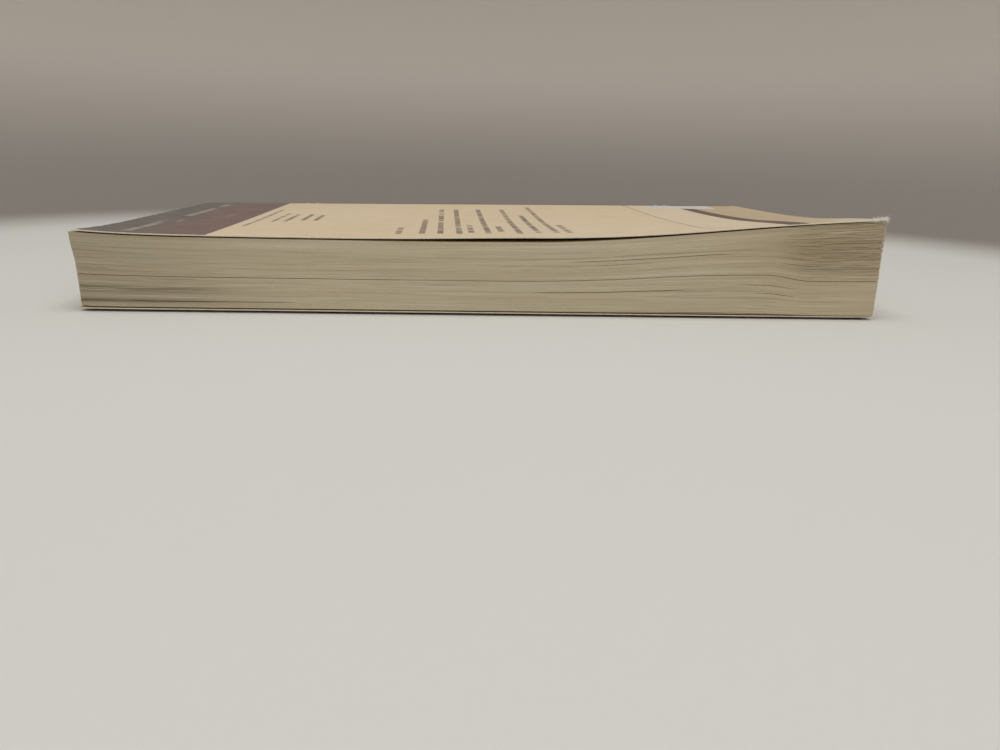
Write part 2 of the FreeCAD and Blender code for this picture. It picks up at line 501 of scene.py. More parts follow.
@dataclass(frozen=True)
class LeafEdgeFinish(Finish):
    """Trimmed edges of the leaves: yellowed bulky paper in fine streaks, darker bands low in the block near
    the head, painted shade towards the head end, and browner paper with painted shade towards the tail end.
    """

    name: str = "leaf_edges"
    streak_length: float = 34.0
    streaks_in_block: float = 46.0
    broad_streaks_in_block: float = 5.0
    fine_streaks_in_block: float = 142.6
    pale_streaks_in_block: float = 74.0
    thin_streaks_in_block: float = 96.0
    plain_brown: float = 0.36
    tail_brown_and_shade: float = 0.14
    dark_band_strength: float = 0.5
    dark_bands: tuple[tuple[float, float], ...] = ((0.25, 0.05), (0.09, 0.035))

    def streaks(self, brush: Brush, stretch: float, count: float, shift: float, detail: float) -> Field:
        """Noise drawn out along the leaves.

        Args:
            brush: The material's brush.
            stretch: How many times shorter the streaks are than the finish's streak length.
            count: How many streaks the block's height has.
            shift: Picks another pattern.
            detail: How many finer layers it has.

        Returns:
            The noise.
        """
        waves = stretch / self.streak_length
        down = brush.attribute("leaf_share") * count + shift
        return brush.noise(brush.x * waves, brush.y * waves, down, detail)

    def paint(self, brush: Brush) -> None:
        """Paints streaks along the leaves, each leaf's own tone, the darker bands near the head and the
        painted shade towards both ends.

        Args:
            brush: The material's brush.
        """
        share = brush.attribute("leaf_share")
        tone = brush.attribute("leaf_tone")
        streaks = self.streaks(brush, 1.0, self.streaks_in_block, shift=0.0, detail=3.0)
        fine = self.streaks(brush, 2.7, self.fine_streaks_in_block, shift=0.0, detail=2.0)
        broad = self.streaks(brush, 0.6, self.broad_streaks_in_block, shift=4.0, detail=1.0)
        brown = (streaks - 0.5) * 0.45 + (fine - 0.5) * 0.55 + (broad - 0.5) * 0.5 + (tone - 0.5) * 0.3
        # Browner towards the tail and higher up: partly browner paper, partly painted shade where the light
        # falls off towards the tail.
        tail_end = brush.x.ramp(45.0, 80.0) * (share.ramp(0.3, 0.8) * 0.3 + self.tail_brown_and_shade)
        brown = (brown + tail_end + self.plain_brown).clamp()
        colour = brush.mix(brown, Tone.LEAF_EDGE, Tone.LEAF_EDGE_BROWN)
        pale = self.streaks(brush, 1.3, self.pale_streaks_in_block, shift=9.0, detail=1.0)
        pale = pale.ramp(0.62, 0.72)
        thin = self.streaks(brush, 1.1, self.thin_streaks_in_block, shift=2.0, detail=1.0)
        thin = thin.ramp(0.64, 0.74)
        colour = brush.mix(pale * 0.45, colour, Tone.LEAF_PALE)
        dark_marks_and_shade = thin * 0.25
        # Darker bands low in the block near the head and the fore-edge.
        near_head = brush.x.ramp(-46.0, -76.0) * brush.y.ramp(-20.0, -50.0) * self.dark_band_strength
        for place, spread in self.dark_bands:
            dark_marks_and_shade = dark_marks_and_shade + share.hill(place, spread) * near_head * (streaks + fine - pale * 1.5)
        # Painted shade: the leaf edges darken towards the head end, where the light falls off.
        head_end_shade = brush.x.ramp(-40.0, -100.0) * 0.36
        dark_marks_and_shade = (dark_marks_and_shade + head_end_shade * (streaks + 0.4)).clamp()
        colour = brush.mix(dark_marks_and_shade, colour, Tone.LEAF_DIRT)
        brush.dress(colour, roughness=0.92, height=brush.mottle(0.25, 3.0, 3.0), depth=0.05, specular=0.2)


@dataclass(frozen=True)
class LeafFaceFinish(Finish):
    """The open face of the first and the last leaf, aged from its edges inwards."""

    name: str = "leaf_faces"
    aged_margin: float = 16.0
    brown_and_shade_margin: float = 2.4

    def paint(self, brush: Brush) -> None:
        """Paints pale paper that browns towards the three trimmed sides, with a brown rim that is partly
        aged paper and partly painted shade in the gap next to the cover.

        Args:
            brush: The material's brush.
        """
        rim = brush.from_rim()
        aged = (rim.ramp(self.aged_margin, 0.0) * 0.75 + (brush.mottle(30.0, 5.0) - 0.5) * 0.5).clamp()
        colour = brush.mix(aged, Tone.LEAF_FACE, Tone.LEAF_FACE_AGED)
        # Brown rim: partly browned paper, partly painted shade in the gap between the leaf and the cover.
        colour = brush.mix(rim.ramp(self.brown_and_shade_margin, 0.2) * 0.6, colour, Tone.RIM_BROWN)
        specks = brush.mottle(0.9, 8.0).ramp(0.7, 0.78) * 0.25
        colour = brush.mix(specks, colour, Tone.LEAF_EDGE_BROWN)
        fibres = brush.noise(brush.x / 0.9, brush.y / 0.25, brush.z / 0.3, 3.0)
        brush.dress(colour, roughness=0.9, height=fibres, depth=0.03, specular=0.2)


@dataclass(frozen=True)
class CardEdgeFinish(Finish):
    """The cut edge of the cover card, where its pale core shows."""

    name: str = "card_cut_edge"

    def paint(self, brush: Brush) -> None:
        """Paints a fibrous pale core with grey handling marks.

        Args:
            brush: The material's brush.
        """
        handled = brush.mottle(2.2, 1.0, 3.0).ramp(0.45, 0.75) * 0.6
        colour = brush.mix(handled, Tone.CARD_CORE, Tone.LEAF_EDGE_BROWN)
        brush.dress(colour, roughness=0.85, height=brush.mottle(0.18, 4.0, 3.0), depth=0.05)


@dataclass(frozen=True)
class CardFluffFinish(Finish):
    """Loose fibres and plies of torn card, nearly white."""

    name: str = "card_fluff"

    def paint(self, brush: Brush) -> None:
        """Paints dry white fibres."""
        colour = brush.mix(brush.mottle(0.6, 2.0) * 0.2, Tone.CARD_FLUFF, Tone.CARD_CORE)
        brush.dress(colour, roughness=0.9, height=brush.mottle(0.1, 1.0), depth=0.01)


@dataclass(frozen=True)
class CardInsideFinish(Finish):
    """The uncoated inner face of the cover card, yellowed a little at its edges."""

    name: str = "card_inside"
    aged_margin: float = 9.0
    brown_and_shade_margin: float = 2.0

    def paint(self, brush: Brush) -> None:
        """Paints pale board with soft ageing, a brown rim that is partly painted shade in the gap next to
        the leaves, and a paper grain.

        Args:
            brush: The material's brush.
        """
        rim = brush.from_rim()
        aged = (rim.ramp(self.aged_margin, 0.0) * 0.5 + (brush.mottle(22.0, 9.0) - 0.5) * 0.5).clamp()
        colour = brush.mix(aged, Tone.CARD_INSIDE, Tone.LEAF_FACE_AGED)
        # Brown rim: partly browned card, partly painted shade in the gap between the card and the leaves.
        colour = brush.mix(rim.ramp(self.brown_and_shade_margin, 0.2) * 0.5, colour, Tone.RIM_BROWN)
        fibres = brush.noise(brush.x / 0.35, brush.y / 0.9, brush.z, 3.0)
        brush.dress(colour, roughness=0.82, height=fibres, depth=0.03, specular=0.3)


@dataclass(frozen=True)
class GlueFinish(Finish):
    """Hot-melt adhesive, a little yellowed, with a satin skin."""

    name: str = "spine_adhesive"

    def paint(self, brush: Brush) -> None:
        """Paints waxy glue with drawn streaks.

        Args:
            brush: The material's brush.
        """
        drawn = brush.noise(brush.x / 4.0, brush.y / 0.5, brush.z / 0.7, 3.0)
        colour = brush.mix(drawn.ramp(0.3, 0.7) * 0.7, Tone.GLUE, Tone.LEAF_EDGE_BROWN)
        brush.dress(colour, roughness=drawn * 0.3 + 0.35, height=drawn, depth=0.12)


@dataclass(frozen=True)
class PrintRow:
    """A row of small broken bars, as text looks from a step away, in millimetres."""

    place: float
    start: float
    end: float
    height: float = 1.5


@dataclass(frozen=True)
class PrintFinish(Finish):
    """Printed and coated cover card, worn to its pale core along edges and corners."""

    name: str = "cover_print"
    scuff_strength: float = 0.25

    def layout(self, brush: Brush) -> Socket:
        """Paints the printed fields and gives their colour. Each printed face has its own."""
        raise NotImplementedError

    def rows(self, brush: Brush, rows: tuple[PrintRow, ...]) -> Field:
        """Where a set of greeked rows has ink.

        Args:
            brush: The material's brush.
            rows: The rows.

        Returns:
            The ink's cover, from 0 to 1.
        """
        from_fore_edge = brush.from_fore_edge()
        ink = 0.0
        for row in rows:
            width = brush.x.band(row.place - row.height / 2, row.place + row.height / 2, 0.12)
            ink = width * from_fore_edge.band(row.start, row.end, 0.25) + ink
        density = brush.noise(brush.x / 7.0, brush.y / 5.0, 1.7, 1.0) * 0.7 + 0.5
        words = brush.noise(brush.x / 9.0, brush.y / 2.1, 6.1, 0.0).ramp(0.33, 0.38)
        return (ink * density * words).clamp()

    def maroon_field(self, brush: Brush, blotches: float) -> Socket:
        """A maroon ground with darker blotches of one size, in millimetres."""
        dark = brush.mottle(blotches, 6.0, 2.0).ramp(0.35, 0.7) * 0.3
        return brush.mix(dark, Tone.MAROON, Tone.STRIPE)

    def wear(self, brush: Brush) -> Field:
        """Where the print is rubbed off, from 0 to 1.

        Args:
            brush: The material's brush.

        Returns:
            The wear.
        """
        chips = brush.mottle(1.6, 2.0, 3.0)
        edge = (brush.from_rim() - chips.ramp(0.5, 0.8) * 0.9).ramp(0.22, 0.02)
        from_corner = brush.hypotenuse(brush.from_fore_edge(), brush.from_ends())
        corner = (from_corner + (chips - 0.5) * 3.0).ramp(2.6, 1.2)
        from_hinge = abs(brush.y - BookForm().hinge_line / MM)
        crease = (from_hinge - (chips - 0.5) * 0.6).ramp(0.3, 0.05) * 0.6
        scratches = brush.noise(brush.x / 9.0, brush.y / 0.5, 3.0, 2.0).ramp(0.74, 0.8)
        return (edge + corner + crease + scratches * self.scuff_strength).clamp()

    def paint(self, brush: Brush) -> None:
        """Paints the print under a thin satin coating, then the wear.

        Args:
            brush: The material's brush.
        """
        worn = self.wear(brush)
        soiled = brush.mottle(6.0, 12.0, 4.0).ramp(0.48, 0.76) * 0.16
        colour = brush.mix(soiled, self.layout(brush), Tone.LEAF_EDGE_BROWN)
        colour = brush.mix(worn, colour, Tone.CARD_CORE)
        handled = brush.mottle(14.0, 7.0, 4.0)
        roughness = handled * 0.22 + worn * 0.35 + 0.36
        grain = brush.mottle(0.5, 3.0, 2.0) * 0.5 + handled * 0.5
        brush.dress(colour, roughness, grain, depth=0.03, specular=0.4)
        brush.shader.inputs["Coat Weight"].default_value = 0.3
        brush.shader.inputs["Coat Roughness"].default_value = 0.35


@dataclass(frozen=True)
class BackCoverPrint(PrintFinish):
    """The back cover: a dark band at the head, a cream field with greeked rows, a stripe and a tan end."""

    name: str = "back_cover_print"
    band_end: float = -65.6
    stripe_place: float = 73.6
    stripe_half_width: float = 2.6
    curl_paling: float = 0.6
    panel_start: float = 53.4
    panel_margin: float = 6.2
    panel_corner: float = 6.0
    box_stretch: tuple[float, float] = (61.0, 84.0)
    box_depths: tuple[float, float] = (90.0, 102.5)
    light_rows: tuple[PrintRow, ...] = (
        PrintRow(-85.2, 5.0, 29.0, 2.2), PrintRow(-84.6, 50.0, 77.0, 2.2),
        PrintRow(-84.6, 81.0, 96.0, 2.0), PrintRow(-86.6, 31.0, 38.0, 0.9),
        PrintRow(-82.0, 32.0, 37.0, 0.9))
    red_rows: tuple[PrintRow, ...] = (PrintRow(-73.4, 46.0, 62.0, 1.6),)
    purple_rows: tuple[PrintRow, ...] = (PrintRow(-62.4, 22.0, 74.0, 1.0),)
    text_rows: tuple[PrintRow, ...] = (
        PrintRow(-58.0, 36.0, 62.0, 1.0), PrintRow(-54.8, 37.0, 60.0, 1.3),
        PrintRow(-50.8, 40.0, 60.0, 1.3), PrintRow(-47.3, 41.0, 58.0, 1.3),
        PrintRow(-22.4, 9.0, 25.0), PrintRow(-16.6, 9.0, 49.0),
        PrintRow(-12.1, 8.5, 83.0), PrintRow(-7.4, 9.0, 81.0), PrintRow(-4.4, 11.5, 35.0),
        PrintRow(-0.2, 9.0, 82.0), PrintRow(3.2, 14.0, 29.0), PrintRow(7.6, 9.0, 82.5),
        PrintRow(12.4, 11.0, 63.0), PrintRow(17.0, 11.5, 91.0), PrintRow(20.2, 11.0, 33.0))

    def wear(self, brush: Brush) -> Field:
        """Where the print is rubbed off, and where it turns paler on the curled tail corner.

        Args:
            brush: The material's brush.

        Returns:
            The wear, from 0 to 1.
        """
        # The print turns paler on the curled tail corner.
        on_curl = brush.x.ramp(78.0, 93.0) * brush.from_fore_edge().ramp(28.0, 6.0)
        paler_corner = on_curl * (brush.mottle(2.6, 5.0) + 0.3)
        return super().wear(brush).most(paler_corner * self.curl_paling)

    def panel(self, brush: Brush, ground: Socket) -> Socket:
        """Paints a paler panel with a round corner and a fine outline on the ground.

        Args:
            brush: The material's brush.
            ground: The colour under the panel.

        Returns:
            The colour with the panel on it.
        """
        corner_x = (self.panel_start + self.panel_corner - brush.x).most(0.0)
        corner_y = (self.panel_margin + self.panel_corner - brush.from_fore_edge()).most(0.0)
        outside = brush.hypotenuse(corner_x, corner_y) - self.panel_corner
        colour = brush.mix(outside.ramp(0.05, -0.05) * 0.55, ground, Tone.PALE_CREAM)
        return brush.mix(outside.line(0.0, 0.24, 0.08) * 0.75, colour, Tone.TEXT_INK)

    def head_band(self, brush: Brush) -> Socket:
        """Paints the dark band at the head with its greeked rows.

        Args:
            brush: The material's brush.

        Returns:
            The band's colour.
        """
        band = brush.mix(brush.x.ramp(-92.0, -72.0), Tone.SLATE, Tone.MAROON)
        band = brush.mix(self.rows(brush, self.light_rows) * 0.9, band, Tone.LIGHT_INK)
        return brush.mix(self.rows(brush, self.red_rows) * 0.8, band, Tone.RED_INK)

    def layout(self, brush: Brush) -> Socket:
        """Paints the fields from the ground up.

        Args:
            brush: The material's brush.

        Returns:
            The print's colour.
        """
        x, tint = brush.x, brush.mottle(38.0, 4.0, 1.0)
        colour = brush.mix(tint.ramp(0.3, 0.7) * 0.5, Tone.CREAM, Tone.PALE_CREAM)
        colour = self.panel(brush, colour)
        tail_end = x.ramp(self.stripe_place, self.stripe_place + 0.2)
        colour = brush.mix(tail_end * 0.85, colour, brush.mix(tint * 0.6, Tone.TAN, Tone.CREAM))
        colour = brush.mix(x.line(self.stripe_place, self.stripe_half_width), colour, Tone.STRIPE)
        (start, end), (low, high) = self.box_stretch, self.box_depths
        box = x.band(start, end, 0.1) * brush.from_fore_edge().band(low, high, 0.1)
        colour = brush.mix(box, colour, Tone.BOX_WHITE)
        colour = brush.mix(self.rows(brush, self.text_rows) * 0.85, colour, Tone.TEXT_INK)
        colour = brush.mix(self.rows(brush, self.purple_rows) * 0.8, colour, Tone.PURPLE_INK)
        colour = brush.mix(x.line(self.band_end + 0.3, 0.375, 0.125) * 0.7, colour, Tone.CARD_CORE)
        return brush.mix(x.ramp(self.band_end + 0.1, self.band_end - 0.1), colour, self.head_band(brush))


@dataclass(frozen=True)
class FrontCoverPrint(PrintFinish):
    """The front cover: a plain maroon field under a slate band, with a thin pale frame."""

    name: str = "front_cover_print"
    band_end: float = -58.0
    frame_inset: float = 8.0
    frame_half_width: float = 0.45

    def layout(self, brush: Brush) -> Socket:
        """Paints the field, the band and the frame.

        Args:
            brush: The material's brush.

        Returns:
            The print's colour.
        """
        in_band = brush.x.ramp(self.band_end + 0.2, self.band_end - 0.2)
        colour = brush.mix(in_band, self.maroon_field(brush, 30.0), Tone.SLATE)
        rim = brush.from_rim().least(BookForm().panel_edge / MM - brush.y)
        frame_line = rim.line(self.frame_inset, self.frame_half_width)
        band_line = brush.x.line(self.band_end, self.frame_half_width)
        lines = frame_line.most(band_line * rim.ramp(self.frame_inset - 0.1, self.frame_inset + 0.1))
        return brush.mix(lines * 0.85, colour, Tone.CREAM)


@dataclass(frozen=True)
class SpinePrint(PrintFinish):
    """The spine: green-grey at the head, partly print and partly a painted highlight of the rounded spine
    edge, and maroon below, with thin pale rules and reading creases.
    """

    name: str = "spine_print"
    band_end: float = -65.6
    rule_places: tuple[float, ...] = (-60.0, -56.5, 66.0, 69.5)
    crease_heights: tuple[float, ...] = (4.6, 8.4, 13.9)
    fold_wear: float = 0.9

    def wear(self, brush: Brush) -> Field:
        """Where the folds, the ends and the reading creases are rubbed pale.

        Args:
            brush: The material's brush.

        Returns:
            The wear, from 0 to 1.
        """
        chips = brush.mottle(1.4, 2.0, 3.0)
        ends = (brush.from_ends() - chips.ramp(0.45, 0.8) * 1.4).ramp(0.35, 0.05)
        from_back = BookForm().half_width / MM - brush.y
        low_fold = brush.hypotenuse(brush.z, from_back)
        high_fold = brush.hypotenuse(self.top_height(brush) - brush.z, from_back)
        fold = (low_fold.least(high_fold) - (chips - 0.5) * 1.6).ramp(self.fold_wear, 0.1)
        creases = 0.0
        for height in self.crease_heights:
            waver = (brush.noise(brush.x / 26.0, height, 0.5, 2.0) - 0.5) * 0.9
            line = abs(brush.z - height - waver).ramp(0.22, 0.04)
            creases = line * brush.noise(brush.x / 7.0, height, 2.5, 2.0).ramp(0.4, 0.6) + creases
        return (ends + fold * 0.6 + creases * 0.6).clamp()

    def top_height(self, brush: Brush) -> Field:
        """Height of the book's upper face along the spine, in millimetres.

        Args:
            brush: The material's brush.

        Returns:
            The height.
        """
        form = BookForm()
        slope = (form.tail_thickness - form.head_thickness) / (2 * form.half_height)
        middle = (form.tail_thickness + form.head_thickness) / 2
        return brush.x * slope + middle / MM

    def layout(self, brush: Brush) -> Socket:
        """Paints the head band, the field and the rules.

        Args:
            brush: The material's brush.

        Returns:
            The print's colour.
        """
        colour = self.maroon_field(brush, 26.0)
        for place in self.rule_places:
            colour = brush.mix(brush.x.line(place, 0.325, 0.075) * 0.85, colour, Tone.CREAM)
        # The head of the spine is green-grey: partly print, partly a painted highlight of the rounded spine
        # edge.
        return brush.mix(brush.x.ramp(self.band_end + 0.2, self.band_end - 0.2), colour, Tone.SPINE_GREEN)


@dataclass(frozen=True)
class StageFinish(Finish):
    """Matt pale paper that turns grey where the floor curves up into the backdrop, with painted shade
    darkening the backdrop towards its foot.
    """

    name: str = "stage_paper"
    floor_end: float = 205.0
    wall_start: float = 310.0
    foot_shade_end: float = 8.0
    foot_shade_fade: float = 110.0

    def paint(self, brush: Brush) -> None:
        """Paints the floor and the backdrop, with painted shade at the backdrop's foot.

        Args:
            brush: The material's brush.
        """
        radius = brush.hypotenuse(brush.x, brush.y)
        # Painted shade: the backdrop turns darker towards its foot, and the floor darkens to the same grey
        # as it nears the backdrop.
        wall = brush.mix(brush.z.ramp(self.foot_shade_end, self.foot_shade_fade), Tone.WALL_FOOT, Tone.WALL)
        colour = brush.mix(radius.ramp(self.floor_end, self.wall_start), Tone.FLOOR, wall)
        brush.dress(colour, roughness=0.9, height=brush.mottle(1.2, 1.0), depth=0.02, specular=0.1)


def add_object(name: str, data: bpy.types.ID) -> Object:
    """Makes an object of a mesh, a lamp or a camera and links it to the scene.

    Args:
        name: The object's name.
        data: Its mesh, lamp or camera.

    Returns:
        The new object.
    """
    made = bpy.data.objects.new(name, data)
    bpy.context.scene.collection.objects.link(made)
    return made


def mesh_piece(name: str, points: np.ndarray, faces: list, finishes: list[Finish],
               finish_of: list[int] | None = None, smooth: bool = True) -> Object:
    """Makes an object from points and faces.

    Args:
        name: The piece's name.
        points: One row of x, y and z for each point.
        faces: The points of each face, by number.
        finishes: The finishes that the piece wears.
        finish_of: The finish of each face, by number.
        smooth: Whether the faces are shaded as one smooth surface.

    Returns:
        The new object, linked to the scene.
    """
    mesh = bpy.data.meshes.new(name)
    mesh.from_pydata([tuple(point) for point in points], [], faces)
    for finish in finishes:
        mesh.materials.append(finish.material())
    if finish_of is not None:
        mesh.polygons.foreach_set("material_index", finish_of)
    mesh.polygons.foreach_set("use_smooth", [smooth] * len(faces))
    mesh.validate()
    mesh.update()
    return add_object(name, mesh)


def grid_faces(rows: int, columns: int, start: int = 0, flip: bool = False) -> list[tuple[int, ...]]:
    """Four-sided faces over a grid of points that is stored row by row.

    Args:
        rows: How many rows of points there are.
        columns: How many points a row has.
        start: The number of the first point.
        flip: Whether the faces look the other way.

    Returns:
        The faces.
    """
    faces = []
    for row in range(rows - 1):
        for column in range(columns - 1):
            a = start + row * columns + column
            face = (a, a + 1, a + 1 + columns, a + columns)
            faces.append(face[::-1] if flip else face)
    return faces


def grid_rim(rows: int, columns: int) -> list[int]:
    """The points round the outside of a grid, in order, for a grid with rows up and columns right.

    Args:
        rows: How many rows of points there are.
        columns: How many points a row has.

    Returns:
        The points, by number.
    """
    bottom = list(range(columns))
    right = [row * columns + columns - 1 for row in range(1, rows)]
    top = [(rows - 1) * columns + column for column in range(columns - 2, -1, -1)]
    left = [row * columns for row in range(rows - 2, 0, -1)]
    return bottom + right + top + left


@dataclass(frozen=True)
class Slab:
    """A closed sheet between an upper and a lower grid of points, with its cut edge between them."""

    upper: np.ndarray
    lower: np.ndarray

    @classmethod
    def between(cls, x: np.ndarray, y: np.ndarray, upper: np.ndarray, lower: np.ndarray) -> "Slab":
        """A sheet over places in plan, from the heights of its upper and its lower side there."""
        return cls(np.stack([x, y, upper], -1), np.stack([x, y, lower], -1))

    def faces(self) -> tuple[list, list[int]]:
        """The sheet's faces and the part that each belongs to.

        Returns:
            The faces, and for each 0 on the upper side, 1 on the cut edge or 2 on the lower side.
        """
        rows, columns = self.upper.shape[:2]
        below = rows * columns
        faces = grid_faces(rows, columns)
        parts = [0] * len(faces)
        rim = grid_rim(rows, columns)
        for a, b in zip(rim, rim[1:] + rim[:1]):
            faces.append((b, a, below + a, below + b))
            parts.append(1)
        under = grid_faces(rows, columns, below, flip=True)
        return faces + under, parts + [2] * len(under)

    def points(self) -> np.ndarray:
        """All points, the upper grid first."""
        return np.concatenate([self.upper.reshape(-1, 3), self.lower.reshape(-1, 3)])

    def piece(self, name: str, finishes: list[Finish], smooth: bool = True) -> Object:
        """Makes the sheet, with finishes for its upper side, its cut edge and its lower side."""
        faces, parts = self.faces()
        return mesh_piece(name, self.points(), faces, finishes, parts, smooth)


class Growth(Sketch):
    """A Geometry Nodes tree with named inputs that ends as a plain mesh."""

    def __init__(self, name: str) -> None:
        """Starts the tree with a geometry input and output.

        Args:
            name: The tree's name.
        """
        super().__init__(bpy.data.node_groups.new(name, "GeometryNodeTree"))
        self.settings: dict[str, object] = {}
        self.tree.interface.new_socket(name="Geometry", in_out="INPUT", socket_type="NodeSocketGeometry")
        self.tree.interface.new_socket(name="Geometry", in_out="OUTPUT", socket_type="NodeSocketGeometry")
        self.start = self.node("NodeGroupInput")

    def size(self, name: str, value: float | int) -> Field:
        """Adds a named input.

        Args:
            name: The input's name.
            value: Its value, a whole number for a count.

        Returns:
            The input as a field.
        """
        kind = "NodeSocketInt" if isinstance(value, int) else "NodeSocketFloat"
        item = self.tree.interface.new_socket(name=name, in_out="INPUT", socket_type=kind)
        self.settings[item.identifier] = value
        return Field(self, self.start.outputs[name])

    def read(self, name: str) -> Field:
        """A number stored on the mesh."""
        return self.result(self.node("GeometryNodeInputNamedAttribute", {"Name": name}, data_type="FLOAT"))

    def store(self, geometry: Socket, name: str, value: Field) -> Socket:
        """Stores a number on the points of a geometry."""
        inputs = {"Geometry": geometry, "Name": name, "Value": value}
        return self.step("GeometryNodeStoreNamedAttribute", inputs, data_type="FLOAT", domain="POINT")

    def random(self, low: float, high: float, number: Field, seed: Field) -> Field:
        """An even random number for each whole number."""
        inputs = {2: low, 3: high, "ID": number, "Seed": seed}
        return Field(self, self.node("FunctionNodeRandomValue", inputs, data_type="FLOAT").outputs[1])

    def finish(self, geometry: Socket, finish: Finish) -> None:
        """Ends the tree: instances become a mesh, which gets its finish.

        Args:
            geometry: What the tree has made.
            finish: The finish of the mesh.
        """
        realized = self.step("GeometryNodeRealizeInstances", {"Geometry": geometry})
        inputs = {"Geometry": realized, "Material": finish.material()}
        dressed = self.step("GeometryNodeSetMaterial", inputs)
        self.node("NodeGroupOutput", {0: dressed})

    def grow(self, source: Object) -> bpy.types.Mesh:
        """Runs the tree on an object.

        Args:
            source: The object that the tree starts from.

        Returns:
            The result as a plain mesh. The object keeps no modifier.
        """
        modifier = source.modifiers.new("growth", "NODES")
        modifier.node_group = self.tree
        for identifier, value in self.settings.items():
            modifier[identifier] = value
        bpy.context.view_layer.update()
        depsgraph = bpy.context.evaluated_depsgraph_get()
        grown = source.evaluated_get(depsgraph)
        mesh = bpy.data.meshes.new_from_object(grown, preserve_all_data_layers=True, depsgraph=depsgraph)
        source.modifiers.remove(modifier)
        return mesh


def join_pieces(name: str, pieces: list[Object]) -> Object:
    """Joins several objects into the first one.

    Args:
        name: The joined piece's name.
        pieces: The objects, the one that is kept first.

    Returns:
        The joined object.
    """
    bpy.ops.object.select_all(action="DESELECT")
    for piece in pieces:
        piece.select_set(True)
    bpy.context.view_layer.objects.active = pieces[0]
    bpy.ops.object.join()
    pieces[0].name = name
    pieces[0].data.name = name
    return pieces[0]


@dataclass(frozen=True)
class LeafOpening:
    """A place where two leaves stand apart: the share of leaves below it, its stretch and its width."""

    share: float
    start: float
    end: float
    width: float


